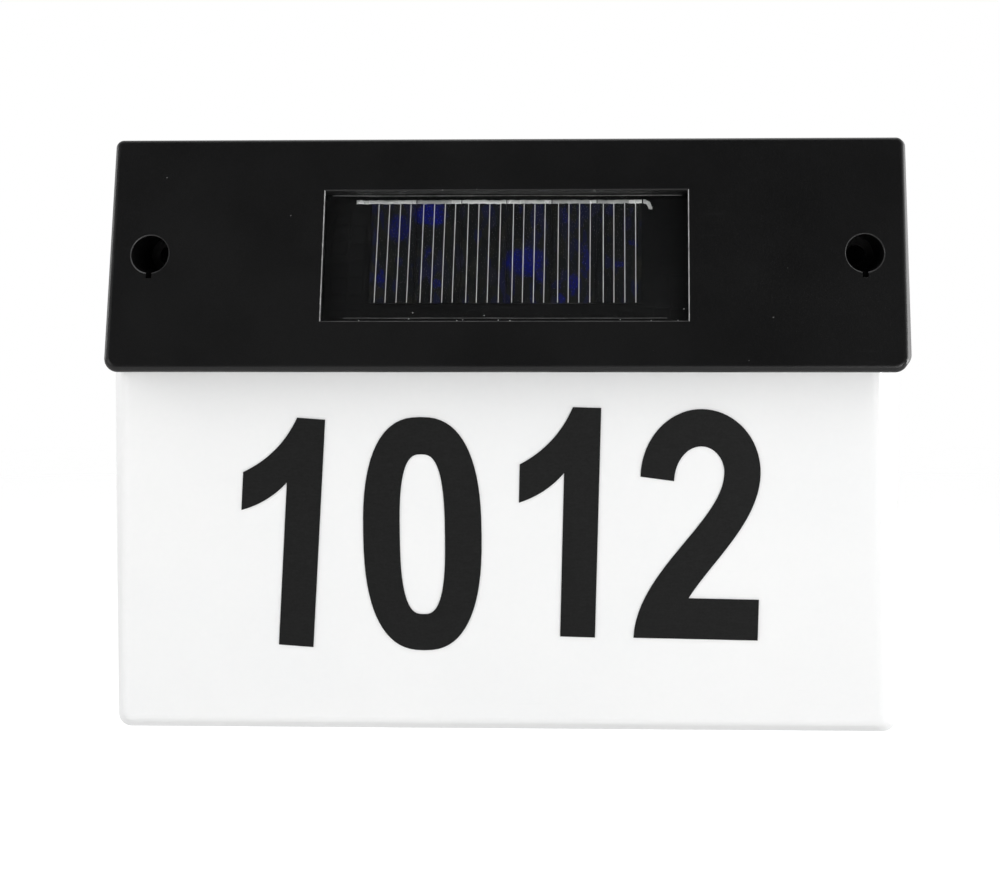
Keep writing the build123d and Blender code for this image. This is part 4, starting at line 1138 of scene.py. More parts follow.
@dataclass
class SolarPanel:
    """Six cut cells behind a clear window, with printed fingers and soldered ribbon."""

    cell_count: int = 6
    fingers_per_cell: int = 4
    finger_pitch: float = 2.44 * MM
    finger_width: float = 0.16 * MM
    finger_height: float = 0.02 * MM
    finger_foot: float = 0.1 * MM
    first_lean: float = 0.95
    last_lean: float = -0.25
    jitter: float = 0.05 * MM
    seed: int = 8
    ribbon_wave: float = 0.3 * MM
    ribbon_samples: int = 36
    ribbon_section: int = 8
    speck_count: int = 12
    speck_band: float = 3.0 * MM
    speck_size: float = 0.34 * MM
    speck_rim: float = 1.2 * MM
    ledge_highlight_r: float = 0.13 * MM
    ledge_highlight_insets: tuple[float, float] = (0.45 * MM, 1.8 * MM)
    ledge_highlight_ends: tuple[float, float] = (1.6 * MM, 5.0 * MM)
    ledge_highlight_samples: int = 60
    # painted highlight: grey lines for the light caught by the pane's edge
    ledge_highlight: Moulded = Moulded("adhesive_line", (0.16, 0.16, 0.16), roughness=0.3)
    crumb: Moulded = Moulded("adhesive_crumb", (0.7, 0.7, 0.7), roughness=0.35)
    curl_samples: int = 16
    pane: ClearPane = ClearPane("window_clear")
    board: Laminate = Laminate("panel_board", (0.0012, 0.0012, 0.0014), (0.0018, 0.0018, 0.0021))
    paste: Tinned = Tinned("silver_paste", (0.62, 0.62, 0.6), (0.9, 0.9, 0.88), metallic=0.1)
    tin: Tinned = Tinned(
        "tinned_ribbon", (0.4, 0.4, 0.39), (0.97, 0.97, 0.95), metallic=0.4, wrinkle_depth=0.3 * MM
    )
    # painted highlights: which parts of each ribbon are coloured bright or dull, left to right
    highlight_stretches: tuple[tuple[RibbonStretch, ...], ...] = (
        (RibbonStretch(0.0, RibbonHighlight.BRIGHT), RibbonStretch(0.2, RibbonHighlight.SATIN), RibbonStretch(0.72, RibbonHighlight.BRIGHT)),
        (RibbonStretch(0.0, RibbonHighlight.DULL), RibbonStretch(0.78, RibbonHighlight.BRIGHT)),
        (RibbonStretch(0.0, RibbonHighlight.BRIGHT),),
        (RibbonStretch(0.0, RibbonHighlight.BRIGHT), RibbonStretch(0.3, RibbonHighlight.SATIN), RibbonStretch(0.85, RibbonHighlight.BRIGHT)),
        (RibbonStretch(0.0, RibbonHighlight.DULL), RibbonStretch(0.85, RibbonHighlight.BRIGHT)),
        (RibbonStretch(0.0, RibbonHighlight.DULL), RibbonStretch(0.7, RibbonHighlight.BRIGHT)),
    )
    silicon: Silicon = Silicon(
        "solar_crystals",
        dark=(0.0072, 0.0078, 0.0088),
        olive=(0.0125, 0.0125, 0.0105),
        blue=(0.0004, 0.0030, 0.17),
        patches=(
            CrystalPatch(-17.4, 11.4, 6.6, 5.6),
            CrystalPatch(-24.6, 8.0, 4.6, 5.6, 0.55),
            CrystalPatch(-28.5, -4.5, 2.0, 4.0, 0.6),
            CrystalPatch(-17.9, 2.1, 1.8, 2.0, 0.45),
            CrystalPatch(-15.5, -5.5, 2.2, 2.2, 0.5),
            CrystalPatch(4.4, -0.2, 8.7, 5.9, 0.8),
            CrystalPatch(8.0, -4.0, 2.0, 2.8, 0.6),
            CrystalPatch(13.4, 11.1, 1.4, 4.0, 0.4),
            CrystalPatch(18.2, -0.3, 1.6, 7.1, 0.55),
            CrystalPatch(15.4, -5.5, 2.0, 4.4, 0.7),
            CrystalPatch(12.6, -9.4, 2.0, 2.0, 0.6),
            CrystalPatch(25.8, -0.5, 2.2, 1.6, 0.55),
            CrystalPatch(28.8, 4.3, 1.2, 1.4, 0.45),
        ),
    )

    def fingers(self, panel: PanelPlane) -> Object:
        """The printed silver fingers, which lean a little more in the cells to the left.

        Args:
            panel: The plane of the cells' front faces.

        Returns:
            The piece with all fingers.
        """
        first_low, first_high = panel.extent("solar_cell_1")
        last_low, last_high = panel.extent(f"solar_cell_{self.cell_count}")
        cell_pitch = (last_low.x - first_low.x) / (self.cell_count - 1)
        length = first_high.y - first_low.y - 2 * self.finger_foot
        recipe = GeometryRecipe("printed_fingers", self.paste.material())
        wires = recipe.wires
        per_cell = recipe.input("Fingers per cell", self.fingers_per_cell)
        cells = recipe.input("Cells", self.cell_count)
        cell_step = recipe.input("Cell pitch", float(cell_pitch))
        finger_step = recipe.input("Finger pitch", self.finger_pitch)
        width = recipe.input("Finger width", self.finger_width)
        long = recipe.input("Finger length", float(length))
        thick = recipe.input("Finger height", self.finger_height)
        lean_first = recipe.input("First lean", math.radians(self.first_lean))
        lean_last = recipe.input("Last lean", math.radians(self.last_lean))
        wobble = recipe.input("Jitter", self.jitter)
        seed = recipe.input("Seed", self.seed)
        count = wires.times(per_cell, cells)
        line = wires.add("GeometryNodeMeshLine", {"Count": count})
        number = wires.add("GeometryNodeInputIndex").outputs[0]
        cell = wires.math("FLOOR", wires.math("DIVIDE", wires.plus(number, 0.5), per_cell))
        within = wires.minus(number, wires.times(cell, per_cell))
        from_middle = wires.minus(cell, wires.math("DIVIDE", wires.minus(cells, 1.0), 2.0))
        from_cell = wires.minus(within, wires.math("DIVIDE", wires.minus(per_cell, 1.0), 2.0))
        shake = wires.random(wires.times(wobble, -1.0), wobble, seed)
        x = wires.plus(wires.times(from_middle, cell_step), wires.times(from_cell, finger_step))
        place = wires.combined(wires.plus(x, shake))
        placed = wires.add("GeometryNodeSetPosition", {"Geometry": line.outputs[0], "Position": place})
        share = wires.math("DIVIDE", cell, wires.minus(cells, 1.0))
        lean = wires.plus(
            lean_first, wires.times(share, wires.minus(lean_last, lean_first))
        )
        turn = wires.combined(z=wires.times(lean, -1.0))
        size = wires.combined(width, long, thick)
        bar = wires.add("GeometryNodeMeshCube", {"Size": size, "Vertices Y": 5})
        recipe.close(wires.instances(placed.outputs[0], bar.outputs[0], Rotation=turn))
        mesh = recipe.mesh("cell_fingers")
        middle = Vector((
            (first_low.x + last_high.x) / 2,
            (first_low.y + first_high.y) / 2,
            first_high.z + self.finger_height / 2,
        ))
        mesh.transform(panel.matrix() @ Matrix.Translation(middle))
        tone = mesh.attributes.new("tone", "FLOAT", "POINT")
        tone.data.foreach_set("value", [0.6] * len(mesh.vertices))
        return add_piece("cell_fingers", mesh, Body.SIGN)

    def highlight_at(self, index: int, share: float) -> float:
        """Painted highlight of a ribbon at a share of its length.

        Args:
            index: The ribbon's number from the left, from 0.
            share: Where along it, from 0 to 1.

        Returns:
            From 0, dull, to 1, bright.
        """
        if index >= len(self.highlight_stretches):
            return RibbonHighlight.SATIN.value
        passed = [stretch for stretch in self.highlight_stretches[index] if stretch.start <= share]
        return passed[-1].tone.value

    def ribbon_line(self, low: Vector, high: Vector, index: int) -> list[tuple[Vector, Vector]]:
        """Centre line of a ribbon in the plane of the panel.

        Args:
            low: Lowest corner of its solid.
            high: Highest corner of its solid.
            index: Its number from the left, from 0.

        Returns:
            Points along it, each with the direction across the strip.
        """
        width = self.ribbon_width
        if index < self.cell_count:
            middle, length = (low.y + high.y) / 2, high.x - low.x
            return [
                (Vector((low.x + length * i / self.ribbon_samples, middle, 0.0)), Vector((0.0, 1.0, 0.0)))
                for i in range(self.ribbon_samples + 1)
            ]
        radius = high.x - low.x - width / 2
        centre = Vector((low.x, high.y - width / 2 - radius, 0.0))
        angle_end = math.radians(100.0)
        line = []
        for i in range(self.curl_samples + 1):
            angle = math.pi / 2 - angle_end * i / self.curl_samples
            across = Vector((math.cos(angle), math.sin(angle), 0.0))
            line.append((centre + across * radius, across))
        return line

    def ribbon(self, panel: PanelPlane, index: int, material: Material) -> Object:
        """A hand-laid strip of tinned ribbon in the place of its plain solid.

        Args:
            panel: The plane of the cells' front faces.
            index: Its number from the left, from 0.
            material: The tinned finish.

        Returns:
            The piece.
        """
        node = f"cell_ribbon_{index + 1}"
        low, high = panel.extent(node)
        line = self.ribbon_line(low, high, index)
        sides = self.ribbon_section
        points, highlights = [], []
        for i, (centre, across) in enumerate(line):
            share = i / (len(line) - 1)
            at = Vector((share * 9.0, index * 3.7, 0.0))
            ease = math.sin(math.pi * share) ** 0.4 if index < self.cell_count else 1.0
            sway = self.ribbon_wave * 0.5 * noise.noise(at)
            pinch = 0.96 - 0.42 * abs(noise.noise(at * 1.9 + Vector((0.0, 0.0, 5.0))))
            lift = self.ribbon_wave * 0.5 * abs(noise.noise(at * 1.6 + Vector((7.0, 0.0, 0.0)))) * ease
            # painted highlight: the tone of this part lightens the ribbon's colour
            tone = self.highlight_at(index, share)
            for k in range(sides):
                angle = 2 * math.pi * (k + 0.5) / sides
                sideways = math.cos(angle) * self.ribbon_width / 2 * pinch
                crown = math.sin(angle) * (high.z - low.z) / 2
                centre_z = (low.z + high.z) / 2 + (lift if crown > 0 else 0.0)
                spot = centre + across * (sideways + sway)
                points.append(Vector((spot.x, spot.y, centre_z + crown)))
                highlights.append(tone)
        mesh = mesh_of(node + "_strip", points, tube_faces(len(line), sides), material)
        attribute = mesh.attributes.new("tone", "FLOAT", "POINT")
        attribute.data.foreach_set("value", highlights)
        mesh.transform(panel.matrix())
        return add_piece(f"ribbon_strip_{index + 1}", mesh, Body.SIGN, [node])

    def ledge_highlight_line(self, top: bool, material: Material) -> Object:
        """A thin wavering grey line along one long edge of the window, a painted highlight where the pane's
        edge catches the light.

        Args:
            top: Whether it is the upper one.
            material: Its material.

        Returns:
            The piece.
        """
        face, low, high = window_rim()
        depth = face.extent("solar_window")[1].z
        inset = self.ledge_highlight_insets[0] if top else self.ledge_highlight_insets[1]
        end = self.ledge_highlight_ends[0] if top else self.ledge_highlight_ends[1]
        level = high.y - inset if top else low.y + inset
        sides = 6
        points = []
        for i in range(self.ledge_highlight_samples + 1):
            share = i / self.ledge_highlight_samples
            at = Vector((share * 14.0, 3.0 if top else 11.0, 0.0))
            r = self.ledge_highlight_r * (0.55 + 0.9 * abs(noise.noise(at))) * (1.0 if top else 0.7)
            x = low.x + end + (high.x - low.x - 2 * end) * share
            centre = Vector((x, level + r * noise.noise(at * 0.5), depth))
            for k in range(sides):
                angle = 2 * math.pi * k / sides
                points.append(centre + Vector((0.0, r * math.cos(angle), r * max(0.0, math.sin(angle)))))
        name = "glue_line_top" if top else "glue_line_bottom"
        mesh = mesh_of(name, points, tube_faces(self.ledge_highlight_samples + 1, sides), material)
        mesh.transform(face.matrix())
        return add_piece(name, mesh, Body.SIGN)

    def specks(self, material: Material) -> Object:
        """Crumbs of clear adhesive left on the window, most of them along its sill.

        Args:
            material: Their material.

        Returns:
            The piece.
        """
        face, low, high = window_rim()
        depth = face.extent("solar_window")[1].z
        rim = self.speck_rim
        recipe = GeometryRecipe("adhesive_crumbs", material)
        wires = recipe.wires
        count = recipe.input("Count", self.speck_count)
        width = recipe.input("Sill width", float(high.x - low.x) - 2 * rim)
        band = recipe.input("Band", self.speck_band)
        size = recipe.input("Speck size", self.speck_size)
        seed = recipe.input("Seed", self.seed)
        line = wires.add("GeometryNodeMeshLine", {"Count": count})
        half = wires.times(width, 0.5)
        along = wires.random(wires.times(half, -1.0), half, seed)
        chance = wires.random(0.0, 1.0, wires.plus(seed, 1.0))
        above = wires.times(wires.math("POWER", chance, 3.0), band)
        place = wires.combined(along, above)
        placed = wires.add("GeometryNodeSetPosition", {"Geometry": line.outputs[0], "Position": place})
        grow = wires.random(0.4, 1.0, wires.plus(seed, 2.0))
        scale = wires.combined(grow, wires.times(grow, 0.7), 0.3)
        crumb = wires.add("GeometryNodeMeshIcoSphere", {"Radius": wires.times(size, 0.5), "Subdivisions": 2})
        recipe.close(wires.instances(placed.outputs[0], crumb.outputs[0], Scale=scale))
        mesh = recipe.mesh("window_crumbs")
        sill = Vector(((low.x + high.x) / 2, low.y + rim, depth))
        mesh.transform(face.matrix() @ Matrix.Translation(sill))
        return add_piece("window_crumbs", mesh, Body.SIGN)

    def build(self) -> None:
        """Dresses the cells, the board and the window, and adds what lies on them."""
        panel = PanelPlane.of_node("solar_cell_1")
        front = PanelPlane.of_node("front_housing")
        shader_plane = PanelPlane(front.origin, panel.across, panel.up, panel.normal)
        crystals = self.silicon.material(shader_plane)
        for number in range(self.cell_count):
            dress(f"solar_cell_{number + 1}", crystals)
        dress("solar_window", self.pane.material())
        dress("solar_board", self.board.material())
        self.fingers(panel)
        low, high = panel.extent("cell_ribbon_2")
        self.ribbon_width = high.y - low.y
        tin = self.tin.material()
        for index in range(self.cell_count + 1):
            self.ribbon(panel, index, tin)
        self.specks(self.crumb.material())
        # painted highlight lines along the pane's upper and lower edge
        ledge_highlight_material = self.ledge_highlight.material()
        for top in (True, False):
            self.ledge_highlight_line(top, ledge_highlight_material)


# ---------------------------------------------------------------- light box and numerals


class Numeral(Enum):
    """The three shapes of numeral that the sign carries."""

    ONE = "1"
    ZERO = "0"
    TWO = "2"


@dataclass(frozen=True)
class NumeralPlace:
    """One numeral: the node that it stands for, its shape and its turn in degrees."""

    node: str
    shape: Numeral
    turn: float


def ellipse_arc(centre: tuple[float, float], across: float, up: float, start: int, end: int) -> list[Vector]:
    """Points along part of an ellipse.

    Args:
        centre: Its centre.
        across: Its half width.
        up: Its half height.
        start: Where the arc starts, in degrees.
        end: Where it ends, in degrees.

    Returns:
        The points, both ends included.
    """
    steps = max(2, abs(end - start) // 5)
    turns = [math.radians(start + (end - start) * i / steps) for i in range(steps + 1)]
    return [Vector((centre[0] + across * math.cos(t), centre[1] + up * math.sin(t))) for t in turns]


def sagitta_arc(start: tuple[float, float], end: tuple[float, float], sag: float) -> list[Vector]:
    """Points of a shallow arc.

    Args:
        start: Its first point.
        end: Its last point.
        sag: How far its middle stands to the right of the way from start to end.

    Returns:
        The points, both ends included.
    """
    first, last = Vector(start), Vector(end)
    way = last - first
    right = Vector((way.y, -way.x)).normalized()
    shares = [i / ARC_STEPS for i in range(ARC_STEPS + 1)]
    return [first + way * t + right * (sag * 4 * t * (1 - t)) for t in shares]


def pulled_curve(start: tuple, start_pull: tuple, end_pull: tuple, end: tuple) -> list[Vector]:
    """Points of a cubic Bezier curve in the plane."""
    corners = [Vector((*point, 0.0)) for point in (start, start_pull, end_pull, end)]
    return [p.to_2d() for p in interpolate_bezier(*corners, BEZIER_POINTS)]


def squared_oval(width: float, height: float, power: float) -> list[Vector]:
    """A closed superellipse round the origin.

    Args:
        width: Its width.
        height: Its height.
        power: 2 for an ellipse, more for a squarer shape.

    Returns:
        Its points.
    """
    points = []
    for i in range(OVAL_POINTS):
        angle = 2 * math.pi * i / OVAL_POINTS
        x = math.copysign(abs(math.cos(angle)) ** (2 / power), math.cos(angle))
        y = math.copysign(abs(math.sin(angle)) ** (2 / power), math.sin(angle))
        points.append(Vector((x * width / 2, y * height / 2)))
    return points


@dataclass
class NumeralSet:
    """The numerals cut from vinyl, in the measures of their own plane, in millimetres."""

    height: float = 54.3
    stem: float = 8.1
    one_top: float = 6.45
    one_reach: float = 18.3
    one_tip: tuple[float, float] = (31.6, 40.6)
    one_inner: float = 38.9
    one_sags: tuple[float, float] = (0.9, 1.6)
    zero_outer: tuple[float, float] = (27.4, 55.4)
    zero_inner: tuple[float, float] = (10.45, 38.0)
    zero_powers: tuple[float, float] = (2.5, 2.8)
    two_width: float = 28.7
    two_bar: float = 9.75
    two_crown: tuple[float, float] = (14.6, 39.4)
    two_bowl: tuple[float, float] = (28.2, 19.95)
    two_hook: tuple[float, float] = (0.85, 38.3)
    two_hook_end: tuple[float, float] = (8.56, 37.4)
    two_inner_top: float = 45.65
    two_notch: float = 12.5
    two_neck: float = 28.2
    two_outer_pull: tuple[float, float] = (17.8, 18.9)
    two_inner_pull: tuple[float, float] = (0.4, 16.0)
    edge_round: float = 0.03
    film: Film = Film("black_vinyl", (0.0034, 0.0036, 0.0035))
    places: tuple[NumeralPlace, ...] = (
        NumeralPlace("numeral_one_left", Numeral.ONE, -4.2),
        NumeralPlace("numeral_zero", Numeral.ZERO, 0.0),
        NumeralPlace("numeral_one_right", Numeral.ONE, -1.55),
        NumeralPlace("numeral_two", Numeral.TWO, -1.0),
    )

    def one(self) -> list[list[Vector]]:
        """Outline of a one, from the lower right corner of its stem."""
        low_tip, high_tip = (-self.one_reach, self.one_tip[0]), (-self.one_reach, self.one_tip[1])
        stem = [Vector((0.0, self.height)), Vector((0.0, 0.0)), Vector((-self.stem, 0.0))]
        under = sagitta_arc((-self.stem, self.one_inner), low_tip, -self.one_sags[0])
        over = sagitta_arc(high_tip, (-self.one_top, self.height), self.one_sags[1])
        return [stem + under + over]

    def zero(self) -> list[list[Vector]]:
        """Outer and inner outline of a zero, round its middle."""
        outer, inner = self.zero_powers
        return [squared_oval(*self.zero_outer, outer), squared_oval(*self.zero_inner, inner)]

    def two(self) -> list[list[Vector]]:
        """Outline of a two, from its lower left corner."""
        crown_x, shoulder = self.two_crown
        outer_x, inner_x = self.two_bowl
        hook_x, hook_y = self.two_hook
        end_x, end_y = self.two_hook_end
        outline = [Vector((0.0, 0.0)), Vector((self.two_width, 0.0)), Vector((self.two_width, self.two_bar))]
        outline += pulled_curve(
            (self.two_notch, self.two_bar), self.two_outer_pull, (outer_x, self.two_neck), (outer_x, shoulder)
        )
        outline += ellipse_arc((crown_x, shoulder), outer_x - crown_x, self.height - shoulder, 0, 90)[1:]
        outline += ellipse_arc((crown_x, hook_y), crown_x - hook_x, self.height - hook_y, 90, 180)[1:]
        outline += ellipse_arc((crown_x, end_y), crown_x - end_x, self.two_inner_top - end_y, 180, 90)
        rise = self.two_inner_top - shoulder
        outline += ellipse_arc((crown_x, shoulder), inner_x - crown_x, rise, 90, 0)[1:]
        outline += pulled_curve(
            (inner_x, shoulder), (inner_x, self.two_neck), self.two_inner_pull, (0.0, 0.0)
        )[1:-1]
        return [outline]

    def corner(self, place: NumeralPlace, low: Vector, high: Vector) -> Vector:
        """Where the outline's own zero lies in the plane of the panel.

        Args:
            place: The numeral.
            low: Lowest corner of its solid.
            high: Highest corner of its solid.

        Returns:
            The place, in metres.
        """
        turn = math.radians(-place.turn)
        if place.shape is Numeral.ONE:
            return Vector((high.x - self.height * MM * math.sin(turn), low.y, 0.0))
        if place.shape is Numeral.TWO:
            return Vector((low.x, low.y + self.two_width * MM * math.sin(turn), 0.0))
        return Vector(((low.x + high.x) / 2, (low.y + high.y) / 2, 0.0))

    def cut(self, place: NumeralPlace, outlines: list[list[Vector]], vinyl: Material) -> Object:
        """Cuts one numeral out of film with softly pressed edges.

        Args:
            place: The numeral.
            outlines: Its outlines, in millimetres.
            vinyl: The film's material.

        Returns:
            The piece, which stands for the plain solid.
        """
        panel = PanelPlane.of_node(place.node)
        low, high = panel.extent(place.node)
        thickness = high.z - low.z
        curve = bpy.data.curves.new(place.node + "_outline", "CURVE")
        curve.dimensions = "2D"
        curve.fill_mode = "BOTH"
        curve.bevel_depth = self.edge_round * MM
        curve.bevel_resolution = 1
        curve.extrude = thickness / 2 - curve.bevel_depth
        curve.offset = -curve.bevel_depth
        for outline in outlines:
            spline = curve.splines.new("POLY")
            spline.points.add(len(outline) - 1)
            for point, spot in zip(spline.points, outline):
                point.co = (spot.x * MM, spot.y * MM, 0.0, 1.0)
            spline.use_cyclic_u = True
        mesh = baked(linked("outline_carrier", curve))
        turn = Matrix.Rotation(math.radians(place.turn), 4, "Z")
        sunk = self.corner(place, low, high) - Vector((0.0, 0.0, thickness / 2))
        mesh.transform(panel.matrix() @ Matrix.Translation(sunk) @ turn)
        cover(mesh, vinyl)
        return add_piece(place.node + "_film", mesh, Body.SIGN, [place.node])

    def build(self) -> None:
        """Cuts all the numerals."""
        vinyl = self.film.material()
        makers = {Numeral.ONE: self.one, Numeral.ZERO: self.zero, Numeral.TWO: self.two}
        for place in self.places:
            self.cut(place, makers[place.shape](), vinyl)


@dataclass
class LightBox:
    """The translucent box under the housing."""

    shell: Diffuser = Diffuser("white_diffuser", (0.905, 0.905, 0.9), (0.875, 0.88, 0.88))
    back: Diffuser = Diffuser("white_back", (0.84, 0.84, 0.84), (0.79, 0.79, 0.79), roughness=0.4)

    def build(self) -> None:
        """Dresses the box."""
        dress("light_box_front", self.shell.material())
        dress("light_box_back", self.back.material())


# ---------------------------------------------------------------- electronics


@dataclass(frozen=True)
class ScrewKind:
    """One kind of self-tapping screw: its node, the way its head faces and its proportions."""

    node: str
    facing: tuple[float, float, float]
    dome: float = 0.35
    thread_pitch: float = 0.72 * MM
    thread_depth: float = 0.2 * MM
    sides: int = 16


@dataclass
class Fasteners:
    """The screws, each with a domed cross-recess head and a cut thread."""

    steel: Metal = Metal("screw_steel", (0.62, 0.62, 0.62), roughness=0.28)
    recess_reach: float = 0.62
    recess_half: float = 0.16
    recess_depth: float = 0.55
    ring_count: int = 5

    def kinds(self) -> list[ScrewKind]:
        """The kinds of screw in the sign."""
        tilt = PanelPlane.of_node("solar_board").normal
        return [
            ScrewKind("cover_screws", (0.0, 1.0, 0.0)),
            ScrewKind("control_screws", (0.0, -1.0, 0.0)),
            ScrewKind("led_board_screws", (0.0, 0.0, 1.0)),
            ScrewKind("light_box_screws", (0.0, 0.0, 1.0)),
            ScrewKind("solar_board_screws", tuple(-tilt)),
        ]

    def islands(self, node: str) -> list[list[Vector]]:
        """The separate solids of a node, as lists of their points."""
        build = bmesh.new()
        build.from_mesh(frame["nodes"][node].data)
        bmesh.ops.remove_doubles(build, verts=build.verts, dist=1e-6)
        left, found = set(build.verts), []
        while left:
            stack, island = [left.pop()], []
            while stack:
                vertex = stack.pop()
                island.append(vertex.co.copy())
                for edge in vertex.link_edges:
                    other = edge.other_vert(vertex)
                    if other in left:
                        left.remove(other)
                        stack.append(other)
            found.append(island)
        build.free()
        return found

    def prototype(
        self, kind: ScrewKind, head_r: float, head_height: float, shank_r: float, length: float
    ) -> Mesh:
        """One screw along +Z, its head's top at the origin.

        Args:
            kind: The kind of screw.
            head_r: Radius of its head.
            head_height: Height of its head.
            shank_r: Outer radius of its thread.
            length: Length below the head.

        Returns:
            Its mesh.
        """
        build = bmesh.new()
        profile = [(0.0, 0.0)]
        for i in range(1, self.ring_count + 1):
            share = i / self.ring_count
            drop = head_height * kind.dome * share * share
            profile.append((head_r * share, -drop))
        profile += [(head_r, -head_height), (shank_r, -head_height)]
        rings = [
            [
                build.verts.new((r * math.cos(angle), r * math.sin(angle), z))
                for angle in (2 * math.pi * k / kind.sides for k in range(kind.sides))
            ]
            for r, z in profile[1:]
        ]
        top = build.verts.new((0.0, 0.0, 0.0))
        for k in range(kind.sides):
            following = (k + 1) % kind.sides
            build.faces.new((top, rings[0][k], rings[0][following]))
            for upper, lower in zip(rings, rings[1:]):
                build.faces.new((upper[k], lower[k], lower[following], upper[following]))
        self.add_thread(build, kind, shank_r, head_height, length)
        return built(kind.node + "_one", build, outwards=True)

    def add_thread(
        self, build: bmesh.types.BMesh, kind: ScrewKind, shank_r: float, start: float, length: float
    ) -> None:
        """Adds a helical thread that ends in a blunt point.

        Args:
            build: The mesh being made.
            kind: The kind of screw.
            shank_r: Outer radius of the thread.
            start: Depth at which it starts, below the head's top.
            length: Its length.
        """
        root_r = shank_r - kind.thread_depth
        tip_length = min(1.2 * shank_r, length / 3)
        turns = (length - tip_length) / kind.thread_pitch
        steps = int(turns * kind.sides)
        rows = []
        for i in range(steps + 1):
            angle = 2 * math.pi * i / kind.sides
            middle = -start - kind.thread_pitch * i / kind.sides
            fade = min(1.0, (steps - i) / kind.sides)
            crest_r = root_r + kind.thread_depth * fade
            row = []
            for r, rise in ((root_r, 0.5), (crest_r, 0.1), (crest_r, -0.1), (root_r, -0.5)):
                z = min(middle + rise * kind.thread_pitch, -start)
                row.append(build.verts.new((r * math.cos(angle), r * math.sin(angle), z)))
            rows.append(row)
        for row, following in zip(rows, rows[1:]):
            for k in range(3):
                build.faces.new((row[k], row[k + 1], following[k + 1], following[k]))
        tip = build.verts.new((0.0, 0.0, -start - length))
        ring = [row[3] for row in rows[-kind.sides - 1:]]
        for first, second in zip(ring, ring[1:]):
            build.faces.new((first, tip, second))

    def cut_recess(self, screw: Mesh, head_r: float, head_height: float) -> Mesh:
        """Cuts a cross recess into a screw's head with a Boolean.

        Args:
            screw: The screw's mesh.
            head_r: Radius of its head.
            head_height: Height of its head.

        Returns:
            The mesh with its recess.
        """
        build = bmesh.new()
        reach, half = self.recess_reach * head_r, self.recess_half * head_r
        deep, narrow = self.recess_depth * head_height, 0.55
        for turn in (0.0, math.pi / 2):
            top = [(-reach, -half), (reach, -half), (reach, half), (-reach, half)]
            spin = Matrix.Rotation(turn, 4, "Z")
            upper = [build.verts.new(spin @ Vector((x, y, head_height * 0.2))) for x, y in top]
            lower = [build.verts.new(spin @ Vector((x * narrow, y * narrow, -deep))) for x, y in top]
            build.faces.new(upper)
            build.faces.new(list(reversed(lower)))
            for k in range(4):
                following = (k + 1) % 4
                build.faces.new((upper[k], lower[k], lower[following], upper[following]))
        cutter = linked("recess_cutter", built("recess_cutter", build, outwards=True))
        body = linked("screw_blank", screw)
        modifier = body.modifiers.new("recess", "BOOLEAN")
        modifier.object = cutter
        modifier.operation = "DIFFERENCE"
        modifier.solver = "EXACT"
        modifier.use_self = True
        result = baked(body)
        bpy.data.objects.remove(cutter)
        return result

    def set_of(self, kind: ScrewKind, steel: Material) -> Object:
        """All screws of one kind, placed by Geometry Nodes where their solids stand.

        Args:
            kind: The kind of screw.
            steel: Its material.

        Returns:
            The piece.
        """
        axis = Vector(kind.facing).normalized()
        spots, sizes = [], None
        for island in self.islands(kind.node):
            along = [p.dot(axis) for p in island]
            top, bottom = max(along), min(along)
            rim = [p for p, a in zip(island, along) if a > top - 1e-5]
            centre = sum(rim, Vector()) / len(rim)
            radii = [(p - centre - axis * (p - centre).dot(axis)).length for p in island]
            head_r = max(radii)
            shank_r = max(r for r, a in zip(radii, along) if a < bottom + 1e-5)
            under = min(a for r, a in zip(radii, along) if r > head_r - 1e-5)
            spots.append(centre)
            sizes = (head_r, top - under, shank_r, under - bottom)
        screw = self.cut_recess(self.prototype(kind, *sizes), sizes[0], sizes[1])
        single = linked(kind.node + "_single", screw)
        turn = axis.to_track_quat("Z", "Y").to_euler()
        recipe = GeometryRecipe(kind.node + "_set", steel)
        wires = recipe.wires
        source = wires.add("GeometryNodeObjectInfo", {"Object": recipe.input("Screw", single)})
        spin = [recipe.input(f"Turn {label}", float(angle)) for label, angle in zip("XYZ", turn)]
        rotation = wires.combined(*spin)
        seed = recipe.input("Seed", 3)
        quarter = wires.random(0.0, math.pi / 2, seed)
        own_turn = wires.combined(z=quarter)
        placed = wires.instances(recipe.source.outputs[0], source.outputs["Geometry"], Rotation=rotation)
        inputs = {"Instances": placed, "Rotation": own_turn, "Local Space": True}
        turned = wires.add("GeometryNodeRotateInstances", inputs)
        recipe.close(turned.outputs[0])
        seed_mesh = bpy.data.meshes.new(kind.node + "_spots")
        seed_mesh.from_pydata(spots, [], [])
        mesh = recipe.mesh(kind.node + "_cut", seed_mesh)
        bpy.data.objects.remove(single)
        return add_piece(kind.node + "_cut", mesh, Body.SIGN, [kind.node])

    def build(self) -> None:
        """Makes every kind of screw."""
        steel = self.steel.material()
        for kind in self.kinds():
            self.set_of(kind, steel)


